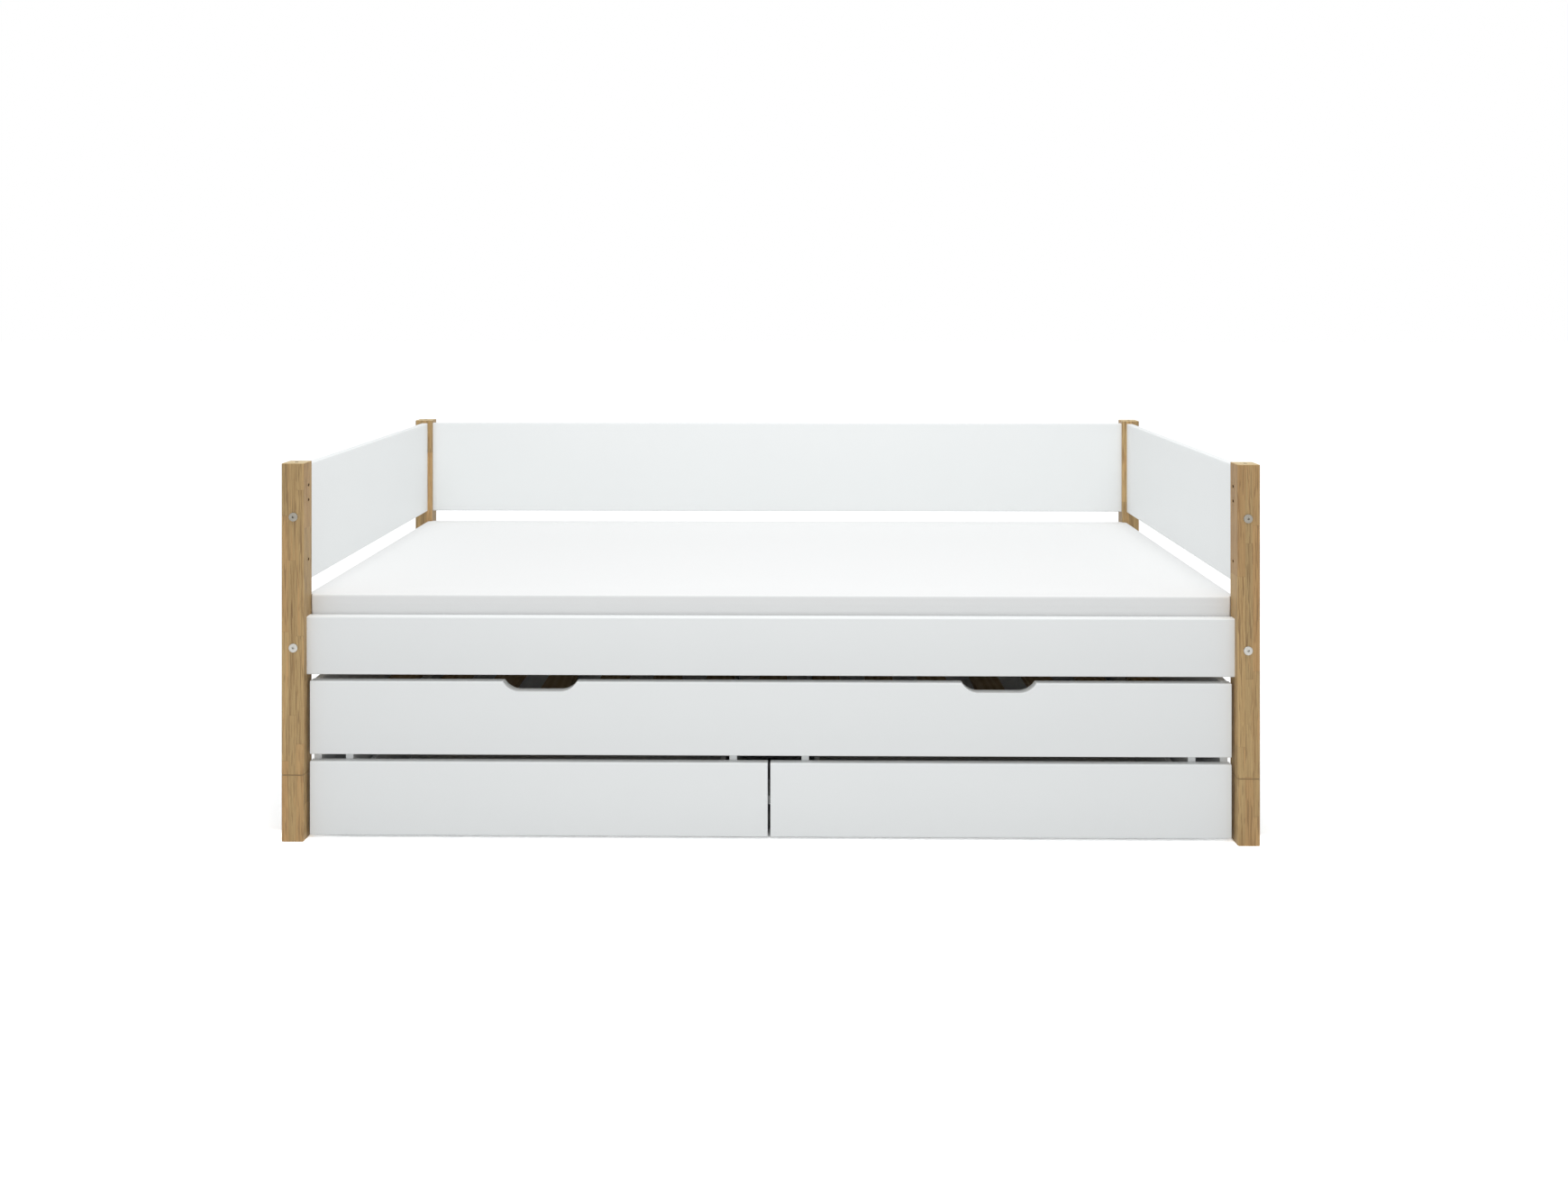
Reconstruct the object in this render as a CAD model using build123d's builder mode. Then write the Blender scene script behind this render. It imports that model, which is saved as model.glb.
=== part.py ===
"""A storage daybed: lacquered boards bolted between four wooden posts, with a slatted base and
a mattress, and under it a pull-out bed on castors that carries two drawers on roller runners."""
import os
from math import sqrt

from build123d import *

os.makedirs("parts", exist_ok=True)

# Sides of the bed: X runs along it, -Y is its front, and Z is up from the floor
sides = (("left", -1), ("right", 1))
ends = (("front", -1), ("back", 1))

# Mattress, and the room that the frame leaves around it
mattress_length = 2014.0
mattress_width = 900.0
mattress_height = 124.5
mattress_corner = 26.0
mattress_top_edge = 6.0
mattress_base_edge = 10.0
mattress_crown = 2.5
mattress_waist = 2.0
soft_gap = 0.3
side_room = 3.0
end_room = 1.5

# Posts, and the leg blocks that lengthen them
post_size = 48.0
post_height = 667.0
leg_height = 143.0
post_edge = 3.5
post_rim = 1.0
stud_radius = 5.0
stud_length = 76.0
top_hole_radius = 4.0
top_hole_depth = 40.0

# Boards of the frame
rail_thickness = 22.0
rail_height = 125.0
rail_bottom = 353.0
rail_setback = 18.0
side_thickness = 18.0
side_inset = 12.5
guard_thickness = 18.0
guard_gap = 69.5
guard_drop = 8.0
board_edge = 3.0

# Fastenings of the frame
bolt_radius = 4.0
bolt_head_radius = 9.5
bolt_head_height = 2.8
bolt_head_edge = 1.0
socket_width = 5.0
socket_depth = 3.6
hole_clearance = 0.2
peg_clearance = 0.1
nut_radius = 6.0
nut_length = 14.0
nut_setback = 32.0
nut_slot_width = 1.6
nut_slot_depth = 1.2
bolt_tip = 4.0
dowel_radius = 4.0
dowel_length = 38.0
dowel_end_room = 1.0
dowel_chamfer = 0.8
cut_overrun = 1.0
rail_x_bolt_share = 0.768
rail_x_dowel_shares = (0.232,)
rail_y_bolt_share = 0.5
rail_y_dowel_shares = (0.104, 0.904)
guard_x_bolt_share = 0.7084
guard_x_dowel_shares = (0.2024, 0.8326)
guard_y_bolt_share = 0.5819
guard_y_dowel_shares = (0.2711, 0.7741)

# Slatted base
slat_count = 15
slat_width = 68.0
slat_thickness = 18.0
first_slat_room = 32.3
slat_end_room = 4.0
slat_edge = 2.0
ledger_width = 22.0
ledger_height = 28.0
ledger_rise = 1.0
ledger_end_room = 6.0
ledger_edge = 1.5
ledger_screw_count = 5
ledger_screw_span_share = 0.92
tape_width = 22.0
tape_thickness = 1.0
tape_share = 0.28
screw_radius = 2.0
screw_head_radius = 4.2
screw_cover = 6.0
screw_head_angle = 90

# Pull-out bed: its front lines up with the rail above it
pull_gap = 14.0
pull_height = 158.0
front_end_room = 7.0
tray_side_room = 8.0
tray_side_thickness = 16.0
floor_room = 30.0
cutout_place_share = 0.4987
cutout_flat = 87.0
cutout_depth = 21.0
cutout_radius = 42.0
tray_ledger_height = 15.0
tray_slat_thickness = 16.0
tray_first_slat_room = 7.0
partition_thickness = 16.0
centre_bay = 140.0
deck_thickness = 16.0
deck_lap = 6.0
deck_overhang = 31.0
small_dowel_radius = 3.0
small_dowel_length = 28.0
tray_dowel_shares = (0.25, 0.75)

# Castors
wheel_radius = 25.0
wheel_width = 20.0
wheel_hub_radius = 8.0
wheel_hub_rise = 1.0
wheel_edge = 2.0
wheel_dish = 3.0
wheel_rim = 6.0
axle_radius = 3.0
axle_head_radius = 5.0
axle_head_height = 1.6
turning_clearance = 0.05
cheek_room = 0.6
cheek_thickness = 2.5
cheek_screw_room = 1.2
cheek_foot_radius = 10.0
plate_length = 70.0
plate_width = 46.0
plate_thickness = 3.0
plate_corner = 4.0
plate_room = 3.5
plate_screw_inset_long = 8.0
plate_screw_inset_wide = 6.0
plate_screw_radius = 1.9
plate_screw_length = 15.0
plate_screw_head_radius = 3.8
plate_screw_head_height = 2.0
castor_rise = 16.0
castor_end_room = 8.0
block_thickness = 18.0
block_overhang = 10.0

# Drawers
drawer_gap = 15.0
drawer_floor_gap = 7.0
partition_front_room = 2.0
drawer_middle_gap = 6.0
drawer_side_thickness = 12.0
drawer_top_room = 40.0
drawer_depth = 720.0
drawer_panel_thickness = 5.0
drawer_panel_rise = 12.0
groove_depth = 5.0
groove_clearance = 0.1
drawer_board_edge = 1.5
drawer_dowel_length = 22.0
drawer_dowel_bite = 7.0
drawer_dowel_shares = (0.172, 0.763)

# Roller runners between a partition and a drawer's side
runner_width = 12.5
runner_back_room = 20.0
runner_sheet = 1.2
runner_front_room = 8.0
member_front_room = 5.0
roller_radius = 10.0
roller_room = 0.1
roller_head_room = 1.4
roller_web_room = 1.0
runner_rise = 10.0
flange_room = 0.8
channel_lip_room = 1.3
running_flange_room = 2.5
web_top = 8.0
roller_end_room = 13.0
roller_pin_radius = 2.5
roller_pin_head_radius = 3.6
roller_pin_head = 1.0
roller_pin_room = 0.2
roller_pin_clearance = 0.9

# Planes that the pieces of the frame share
rail_inner = mattress_width / 2 + side_room
rail_middle = rail_inner + rail_thickness / 2
rail_outer = rail_inner + rail_thickness
post_front = rail_outer + rail_setback
post_back = post_front - post_size
side_inner = mattress_length / 2 + end_room
side_middle = side_inner + side_thickness / 2
side_outer = side_inner + side_thickness
post_inner = side_inner - side_inset
post_outer = post_inner + post_size
post_x = post_inner + post_size / 2
post_y = post_back + post_size / 2
post_top = leg_height + post_height
rail_top = rail_bottom + rail_height
guard_top = post_top - guard_drop
guard_bottom = rail_top + guard_gap
guard_height = guard_top - guard_bottom
ledger_bottom = rail_bottom + ledger_rise
ledger_top = ledger_bottom + ledger_height
slat_top = ledger_top + slat_thickness

# Heights of the bolts and dowels along X and along Y
rail_x_bolt = rail_bottom + rail_height * rail_x_bolt_share
rail_x_dowels = [rail_bottom + rail_height * share for share in rail_x_dowel_shares]
rail_y_bolt = rail_bottom + rail_height * rail_y_bolt_share
rail_y_dowels = [rail_bottom + rail_height * share for share in rail_y_dowel_shares]
guard_x_bolt = guard_bottom + guard_height * guard_x_bolt_share
guard_x_dowels = [guard_bottom + guard_height * share for share in guard_x_dowel_shares]
guard_y_bolt = guard_bottom + guard_height * guard_y_bolt_share
guard_y_dowels = [guard_bottom + guard_height * share for share in guard_y_dowel_shares]
bolt_length = post_size + nut_setback + nut_radius + bolt_tip
bolt_bore = bolt_radius + hole_clearance
through_post = post_size + cut_overrun
dowel_bore = dowel_radius + peg_clearance
dowel_depth = dowel_length / 2 + dowel_end_room
screw_length = ledger_width + rail_thickness - screw_cover


def save(piece, name):
    """Labels a finished piece and writes it to its own file."""
    piece.part.label = name
    export_step(piece.part, f"parts/{name}.step")


def board_along_x(x_span, y_span, z_span, edge):
    """A board that runs along X, its four long edges rounded."""
    with BuildSketch(Plane.YZ.offset(x_span[0])) as section:
        with Locations((sum(y_span) / 2, sum(z_span) / 2)):
            RectangleRounded(y_span[1] - y_span[0], z_span[1] - z_span[0], edge)
    extrude(section.sketch, amount=x_span[1] - x_span[0])


def board_along_y(x_span, y_span, z_span, edge):
    """A board that runs along Y, its four long edges rounded."""
    with BuildSketch(Plane.XZ.offset(-y_span[1])) as section:
        with Locations((sum(x_span) / 2, sum(z_span) / 2)):
            RectangleRounded(x_span[1] - x_span[0], z_span[1] - z_span[0], edge)
    extrude(section.sketch, amount=y_span[1] - y_span[0])


def span(low, high):
    """Two ends in rising order."""
    return (min(low, high), max(low, high))


def drill(origin, facing, radius, depth):
    """A round hole from a point on a face that looks along facing."""
    with Locations(Plane(origin=origin, z_dir=facing)):
        Hole(radius, depth)


def set_out(template, places):
    """Copies of one fastening, each laid on its own plane."""
    for place in places:
        add(template.part.moved(Location(place)))


# Fastening templates, each with its axis on Z
with BuildPart() as bolt:
    with BuildSketch():
        Circle(bolt_head_radius)
    extrude(amount=bolt_head_height)
    fillet(bolt.faces().sort_by(Axis.Z)[-1].edges(), bolt_head_edge)
    with BuildSketch():
        Circle(bolt_radius)
    extrude(amount=-bolt_length)
    with BuildSketch(Plane.XY.offset(bolt_head_height)):
        RegularPolygon(socket_width / 2, side_count=6, major_radius=False)
    extrude(amount=-socket_depth, mode=Mode.SUBTRACT)

with BuildPart() as barrel_nut:
    Cylinder(nut_radius, nut_length)
    with Locations(Plane(origin=(0, 0, 0), z_dir=(1, 0, 0))):
        Hole(bolt_bore)
    with Locations((0, 0, nut_length / 2)):
        Box(2 * nut_radius + cut_overrun, nut_slot_width, 2 * nut_slot_depth, mode=Mode.SUBTRACT)

with BuildPart() as dowel:
    Cylinder(dowel_radius, dowel_length)
    chamfer(dowel.edges().filter_by(GeomType.CIRCLE), dowel_chamfer)

with BuildPart() as small_dowel:
    Cylinder(small_dowel_radius, small_dowel_length)
    chamfer(small_dowel.edges().filter_by(GeomType.CIRCLE), dowel_chamfer)

with BuildPart() as drawer_dowel:
    Cylinder(small_dowel_radius, drawer_dowel_length)
    chamfer(drawer_dowel.edges().filter_by(GeomType.CIRCLE), dowel_chamfer)

with BuildPart() as screw:
    with BuildSketch(Plane.XZ):
        with BuildLine():
            Polyline(
                (0, 0),
                (screw_head_radius, 0),
                (screw_radius, screw_radius - screw_head_radius),
                (screw_radius, screw_radius - screw_length),
                (0, -screw_length),
                close=True,
            )
        make_face()
    revolve(axis=Axis.Z)

with BuildPart() as plate_screw:
    with BuildSketch():
        Circle(plate_screw_head_radius)
    extrude(amount=plate_screw_head_height)
    chamfer(plate_screw.faces().sort_by(Axis.Z)[-1].edges(), plate_screw_head_height / 2)
    with BuildSketch():
        Circle(plate_screw_radius)
    extrude(amount=-plate_screw_length)


# Posts, drilled for their own boards and, on the front pair, for an extra front guard
for end, y in ends:
    for side, x in sides:
        with BuildPart() as post:
            with BuildSketch(Plane.XY.offset(leg_height)):
                with Locations((x * post_x, y * post_y)):
                    RectangleRounded(post_size, post_size, post_edge)
            extrude(amount=post_height)
            chamfer(post.faces().sort_by(Axis.Z)[0].edges(), post_rim)
            chamfer(post.faces().sort_by(Axis.Z)[-1].edges(), post_rim)
            for z in (rail_x_bolt, guard_x_bolt):
                drill((x * post_outer, y * rail_middle, z), (x, 0, 0), bolt_bore, through_post)
            for z in (rail_y_bolt, guard_y_bolt):
                drill((x * side_middle, y * post_front, z), (0, y, 0), bolt_bore, through_post)
            for z in rail_x_dowels + guard_x_dowels:
                drill((x * post_inner, y * rail_middle, z), (-x, 0, 0), dowel_bore, dowel_depth)
            for z in rail_y_dowels + guard_y_dowels:
                drill((x * side_middle, y * post_back, z), (0, -y, 0), dowel_bore, dowel_depth)
            drill((x * post_x, y * post_y, leg_height), (0, 0, -1), stud_radius + peg_clearance,
                  stud_length / 2 + dowel_end_room)
            drill((x * post_x, y * post_y, post_top), (0, 0, 1), top_hole_radius, top_hole_depth)
        save(post, f"{end}_{side}_post")

        with BuildPart() as leg:
            with BuildSketch():
                with Locations((x * post_x, y * post_y)):
                    RectangleRounded(post_size, post_size, post_edge)
            extrude(amount=leg_height)
            chamfer(leg.faces().sort_by(Axis.Z)[0].edges(), post_rim)
            chamfer(leg.faces().sort_by(Axis.Z)[-1].edges(), post_rim)
            drill((x * post_x, y * post_y, leg_height), (0, 0, 1), stud_radius + peg_clearance,
                  stud_length / 2 + dowel_end_room)
        save(leg, f"{end}_{side}_leg")

with BuildPart() as leg_studs:
    for _, y in ends:
        for _, x in sides:
            with Locations((x * post_x, y * post_y, leg_height)):
                Cylinder(stud_radius, stud_length)
save(leg_studs, "leg_studs")


def drill_x_ends(y, bolt_z, dowel_zs, nut_face_y, nut_facing, thickness):
    """The bolt, nut and dowel holes at both ends of a board that runs along X."""
    for _, x in sides:
        drill((x * post_inner, y, bolt_z), (x, 0, 0), bolt_bore, bolt_length - post_size + bolt_tip)
        drill((x * (post_inner - nut_setback), nut_face_y, bolt_z), (0, nut_facing, 0),
              nut_radius + peg_clearance, (thickness + nut_length) / 2 + peg_clearance)
        for z in dowel_zs:
            drill((x * post_inner, y, z), (x, 0, 0), dowel_bore, dowel_depth)


def drill_y_ends(x, bolt_z, dowel_zs, nut_face_x, nut_facing, thickness):
    """The bolt, nut and dowel holes at both ends of a board that runs along Y."""
    for _, y in ends:
        drill((x, y * post_back, bolt_z), (0, y, 0), bolt_bore, bolt_length - post_size + bolt_tip)
        drill((nut_face_x, y * (post_back - nut_setback), bolt_z), (nut_facing, 0, 0),
              nut_radius + peg_clearance, (thickness + nut_length) / 2 + peg_clearance)
        for z in dowel_zs:
            drill((x, y * post_back, z), (0, y, 0), dowel_bore, dowel_depth)


# Slat ledgers' screws, spread along each ledger
ledger_length = 2 * (post_inner - ledger_end_room)
ledger_screw_step = ledger_length * ledger_screw_span_share / (ledger_screw_count - 1)
ledger_screw_xs = [(i - (ledger_screw_count - 1) / 2) * ledger_screw_step
                   for i in range(ledger_screw_count)]
ledger_screw_z = (ledger_bottom + ledger_top) / 2
ledger_inner = rail_inner - ledger_width
screw_bore = screw_radius + peg_clearance

# Front and back rails
for end, y in ends:
    with BuildPart() as rail:
        board_along_x((-post_inner, post_inner), span(y * rail_inner, y * rail_outer),
                      (rail_bottom, rail_top), board_edge)
        drill_x_ends(y * rail_middle, rail_x_bolt, rail_x_dowels, y * rail_inner, -y, rail_thickness)
        for screw_x in ledger_screw_xs:
            drill((screw_x, y * rail_inner, ledger_screw_z), (0, -y, 0), screw_bore,
                  screw_length - ledger_width + dowel_end_room)
    save(rail, f"{end}_rail")

# Side rails and side guards
for side, x in sides:
    with BuildPart() as side_rail:
        board_along_y(span(x * side_inner, x * side_outer), (-post_back, post_back),
                      (rail_bottom, rail_top), board_edge)
        drill_y_ends(x * side_middle, rail_y_bolt, rail_y_dowels, x * side_inner, -x, side_thickness)
    save(side_rail, f"{side}_side_rail")

    with BuildPart() as side_guard:
        board_along_y(span(x * side_inner, x * side_outer), (-post_back, post_back),
                      (guard_bottom, guard_top), board_edge)
        drill_y_ends(x * side_middle, guard_y_bolt, guard_y_dowels, x * side_outer, x, side_thickness)
    save(side_guard, f"{side}_guard")

# Back guard, centred on the same line as the back rail
guard_faces = (rail_middle - guard_thickness / 2, rail_middle + guard_thickness / 2)
with BuildPart() as back_guard:
    board_along_x((-post_inner, post_inner), guard_faces, (guard_bottom, guard_top), board_edge)
    drill_x_ends(rail_middle, guard_x_bolt, guard_x_dowels, guard_faces[1], 1, guard_thickness)
save(back_guard, "back_guard")

# Bolts, their barrel nuts and the dowels of the frame
bolt_places = []
nut_places = []
dowel_places = []
for end, y in ends:
    for _, x in sides:
        x_joints = [(rail_x_bolt, rail_x_dowels, -y)]
        if end == "back":
            x_joints.append((guard_x_bolt, guard_x_dowels, 1))
        for bolt_z, dowel_zs, nut_facing in x_joints:
            bolt_places.append(Plane(origin=(x * post_outer, y * rail_middle, bolt_z), z_dir=(x, 0, 0)))
            nut_places.append(Plane(origin=(x * (post_inner - nut_setback), y * rail_middle, bolt_z),
                                    x_dir=(1, 0, 0), z_dir=(0, nut_facing, 0)))
            for z in dowel_zs:
                dowel_places.append(Plane(origin=(x * post_inner, y * rail_middle, z), z_dir=(x, 0, 0)))
        y_joints = ((rail_y_bolt, rail_y_dowels, -x), (guard_y_bolt, guard_y_dowels, x))
        for bolt_z, dowel_zs, nut_facing in y_joints:
            bolt_places.append(Plane(origin=(x * side_middle, y * post_front, bolt_z), z_dir=(0, y, 0)))
            nut_places.append(Plane(origin=(x * side_middle, y * (post_back - nut_setback), bolt_z),
                                    x_dir=(0, 1, 0), z_dir=(nut_facing, 0, 0)))
            for z in dowel_zs:
                dowel_places.append(Plane(origin=(x * side_middle, y * post_back, z), z_dir=(0, y, 0)))

with BuildPart() as frame_bolts:
    set_out(bolt, bolt_places)
save(frame_bolts, "frame_bolts")

with BuildPart() as barrel_nuts:
    set_out(barrel_nut, nut_places)
save(barrel_nuts, "barrel_nuts")

with BuildPart() as frame_dowels:
    set_out(dowel, dowel_places)
save(frame_dowels, "frame_dowels")

# Slat ledgers, screwed to the inner faces of the front and back rails
with BuildPart() as slat_ledgers:
    for _, y in ends:
        board_along_x((-ledger_length / 2, ledger_length / 2), span(y * ledger_inner, y * rail_inner),
                      (ledger_bottom, ledger_top), ledger_edge)
        for screw_x in ledger_screw_xs:
            with Locations(Plane(origin=(screw_x, y * ledger_inner, ledger_screw_z), z_dir=(0, -y, 0))):
                CounterSinkHole(screw_bore, screw_head_radius + peg_clearance,
                                ledger_width + cut_overrun, screw_head_angle)
save(slat_ledgers, "slat_ledgers")

with BuildPart() as ledger_screws:
    set_out(screw, [Plane(origin=(screw_x, y * ledger_inner, ledger_screw_z), z_dir=(0, -y, 0))
                    for _, y in ends for screw_x in ledger_screw_xs])
save(ledger_screws, "ledger_screws")

# Slats from ledger to ledger, with two tapes under them that keep their spacing
slat_length = 2 * (rail_inner - slat_end_room)
slat_spacing = (2 * (side_inner - first_slat_room) - slat_width) / (slat_count - 1)
with BuildPart() as bed_slats:
    with BuildSketch(Plane.XZ.offset(-slat_length / 2)):
        with Locations((0, slat_top - slat_thickness / 2)):
            with GridLocations(slat_spacing, 0, slat_count, 1):
                RectangleRounded(slat_width, slat_thickness, slat_edge)
    extrude(amount=slat_length)
save(bed_slats, "bed_slats")

tape_length = (slat_count - 1) * slat_spacing + slat_width
with BuildPart() as slat_tapes:
    for y in (-1, 1):
        with Locations((0, y * slat_length * tape_share, ledger_top - tape_thickness / 2)):
            Box(tape_length, tape_width, tape_thickness)
save(slat_tapes, "slat_tapes")

# Mattress, its sides a little drawn in between the corners and its top a little crowned
mattress_bottom = slat_top + soft_gap
mattress_top = mattress_bottom + mattress_height
with BuildPart() as mattress:
    half_x = mattress_length / 2
    half_y = mattress_width / 2
    with BuildSketch(Plane.XY.offset(mattress_bottom)):
        with BuildLine():
            ThreePointArc((-half_x, -half_y), (0, mattress_waist - half_y), (half_x, -half_y))
            ThreePointArc((half_x, -half_y), (half_x - mattress_waist, 0), (half_x, half_y))
            ThreePointArc((half_x, half_y), (0, half_y - mattress_waist), (-half_x, half_y))
            ThreePointArc((-half_x, half_y), (mattress_waist - half_x, 0), (-half_x, -half_y))
        make_face()
    extrude(amount=mattress_height)
    fillet(mattress.edges().filter_by(Axis.Z), mattress_corner)
    with BuildSketch(Plane.YZ.offset(-half_x)):
        with BuildLine():
            Polyline(
                (half_y, mattress_top - mattress_crown),
                (half_y, mattress_bottom),
                (-half_y, mattress_bottom),
                (-half_y, mattress_top - mattress_crown),
            )
            ThreePointArc((-half_y, mattress_top - mattress_crown), (0, mattress_top),
                          (half_y, mattress_top - mattress_crown))
        make_face()
    extrude(amount=mattress_length, mode=Mode.INTERSECT)
    fillet(mattress.faces().sort_by(Axis.Z)[-1].edges(), mattress_top_edge)
    fillet(mattress.faces().sort_by(Axis.Z)[0].edges(), mattress_base_edge)
save(mattress, "mattress")

# Heights and planes of the pull-out bed
pull_top = rail_bottom - pull_gap
pull_bottom = pull_top - pull_height
drawer_top = pull_bottom - drawer_gap
drawer_bottom = drawer_floor_gap
pull_half = post_inner - front_end_room
tray_outer = post_inner - tray_side_room
tray_inner = tray_outer - tray_side_thickness
tray_side_middle = tray_inner + tray_side_thickness / 2
inner_wall = centre_bay / 2
outer_bay = plate_width + 2 * plate_room
outer_wall = tray_inner - outer_bay
tray_ledger_inner = rail_inner - ledger_width
tray_ledger_top = pull_bottom + tray_ledger_height
deck_top = tray_ledger_top
deck_bottom = deck_top - deck_thickness
partition_top = deck_bottom
small_dowel_bore = small_dowel_radius + peg_clearance
small_dowel_depth = small_dowel_length / 2 + dowel_end_room
partition_middles = (inner_wall + partition_thickness / 2, outer_wall - partition_thickness / 2)
tray_dowel_zs = [pull_bottom + pull_height * share for share in tray_dowel_shares]
partition_dowel_zs = [floor_room + (partition_top - floor_room) * share for share in tray_dowel_shares]
cutout_x = pull_half * cutout_place_share
cutout_reach = sqrt(cutout_radius ** 2 - (cutout_radius - cutout_depth) ** 2)

# Front of the pull-out bed, with two hand cut-outs in its top edge
with BuildPart() as pull_out_front:
    board_along_x((-pull_half, pull_half), (-rail_outer, -rail_inner), (pull_bottom, pull_top), board_edge)
    for cutout_side in (-cutout_x, cutout_x):
        cutout_plane = Plane(origin=(cutout_side, -rail_outer - cut_overrun, pull_top),
                             x_dir=(1, 0, 0), z_dir=(0, -1, 0))
        with BuildSketch(cutout_plane):
            with BuildLine():
                flat = Line((-cutout_flat / 2, -cutout_depth), (cutout_flat / 2, -cutout_depth))
                right_arc = TangentArc(flat @ 1, (cutout_flat / 2 + cutout_reach, 0), tangent=(1, 0))
                left_arc = TangentArc(flat @ 0, (-cutout_flat / 2 - cutout_reach, 0), tangent=(-1, 0))
                Polyline(
                    right_arc @ 1,
                    (cutout_flat / 2 + cutout_reach, cut_overrun),
                    (-cutout_flat / 2 - cutout_reach, cut_overrun),
                    left_arc @ 1,
                )
            make_face()
        extrude(amount=-(rail_thickness + 2 * cut_overrun), mode=Mode.SUBTRACT)
    for _, x in sides:
        for z in tray_dowel_zs:
            drill((x * tray_side_middle, -rail_inner, z), (0, 1, 0), small_dowel_bore, small_dowel_depth)
save(pull_out_front, "pull_out_front")

# Back of the pull-out bed, which also closes the drawer bays
with BuildPart() as pull_out_back:
    board_along_x((-tray_outer, tray_outer), (rail_inner, rail_outer), (floor_room, pull_top), board_edge)
    for _, x in sides:
        for z in tray_dowel_zs:
            drill((x * tray_side_middle, rail_inner, z), (0, -1, 0), small_dowel_bore, small_dowel_depth)
        for middle in partition_middles:
            for z in partition_dowel_zs:
                drill((x * middle, rail_inner, z), (0, -1, 0), small_dowel_bore, small_dowel_depth)
save(pull_out_back, "pull_out_back")

for side, x in sides:
    with BuildPart() as tray_side:
        board_along_y(span(x * tray_inner, x * tray_outer), (-rail_inner, rail_inner),
                      (floor_room, pull_top), board_edge)
        for _, y in ends:
            for z in tray_dowel_zs:
                drill((x * tray_side_middle, y * rail_inner, z), (0, y, 0), small_dowel_bore,
                      small_dowel_depth)
    save(tray_side, f"pull_out_{side}_side")

    for place, middle in zip(("inner", "outer"), partition_middles):
        with BuildPart() as partition:
            board_along_y(
                (x * middle - partition_thickness / 2, x * middle + partition_thickness / 2),
                (-rail_inner, rail_inner), (floor_room, partition_top), drawer_board_edge)
            for z in partition_dowel_zs:
                drill((x * middle, rail_inner, z), (0, 1, 0), small_dowel_bore, small_dowel_depth)
        save(partition, f"{side}_{place}_partition")

tray_dowel_places = []
for _, x in sides:
    for z in tray_dowel_zs:
        for _, y in ends:
            tray_dowel_places.append(
                Plane(origin=(x * tray_side_middle, y * rail_inner, z), z_dir=(0, 1, 0)))
    for middle in partition_middles:
        for z in partition_dowel_zs:
            tray_dowel_places.append(Plane(origin=(x * middle, rail_inner, z), z_dir=(0, 1, 0)))
with BuildPart() as pull_out_dowels:
    set_out(small_dowel, tray_dowel_places)
save(pull_out_dowels, "pull_out_dowels")

# Ledgers and slats of the pull-out bed
tray_slat_spacing = (2 * (tray_inner - tray_first_slat_room) - slat_width) / (slat_count - 1)
with BuildPart() as pull_out_ledgers:
    for _, y in ends:
        board_along_x((-tray_inner, tray_inner), span(y * tray_ledger_inner, y * rail_inner),
                      (pull_bottom, tray_ledger_top), ledger_edge)
save(pull_out_ledgers, "pull_out_ledgers")

with BuildPart() as pull_out_slats:
    with BuildSketch(Plane.XZ.offset(-slat_length / 2)):
        with Locations((0, tray_ledger_top + tray_slat_thickness / 2)):
            with GridLocations(tray_slat_spacing, 0, slat_count, 1):
                RectangleRounded(slat_width, tray_slat_thickness, slat_edge)
    extrude(amount=slat_length)
save(pull_out_slats, "pull_out_slats")

# Deck boards between the ledgers, one on the partitions of each castor bay
outer_deck = outer_wall - partition_thickness - deck_overhang
centre_deck = inner_wall + deck_lap
with BuildPart() as deck_boards:
    for low, high in ((-tray_inner, -outer_deck), (-centre_deck, centre_deck), (outer_deck, tray_inner)):
        board_along_y((low, high), (-tray_ledger_inner, tray_ledger_inner), (deck_bottom, deck_top),
                      drawer_board_edge)
save(deck_boards, "deck_boards")

# Castors: a screwed plate with two cheeks, an axle and a wheel, in three bays at front and back
castor_plate_top = 2 * wheel_radius + castor_rise
block_length = plate_length + 2 * block_overhang
castor_y = rail_inner - castor_end_room - block_length / 2
castor_xs = (-(outer_wall + outer_bay / 2), 0, outer_wall + outer_bay / 2)
castor_spots = [(x, y * castor_y) for _, y in ends for x in castor_xs]
plate_screw_pitch_long = plate_length - 2 * plate_screw_inset_long
plate_screw_pitch_wide = plate_width - 2 * plate_screw_inset_wide
cheek_top_width = plate_screw_pitch_long - 2 * (plate_screw_head_radius + cheek_screw_room)
wheel_hub_width = wheel_width + 2 * wheel_hub_rise
cheek_inner = wheel_hub_width / 2 + cheek_room
cheek_outer = cheek_inner + cheek_thickness
cheek_top = castor_plate_top - plate_thickness

with BuildPart() as castor_blocks:
    for x, y in castor_spots:
        half_bay = inner_wall if x == 0 else outer_bay / 2
        board_along_y((x - half_bay, x + half_bay), (y - block_length / 2, y + block_length / 2),
                      (castor_plate_top, castor_plate_top + block_thickness), drawer_board_edge)
        with Locations(Plane(origin=(x, y, castor_plate_top), z_dir=(0, 0, -1))):
            with GridLocations(plate_screw_pitch_wide, plate_screw_pitch_long, 2, 2):
                Hole(plate_screw_radius + peg_clearance, plate_screw_length)
save(castor_blocks, "castor_blocks")

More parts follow.
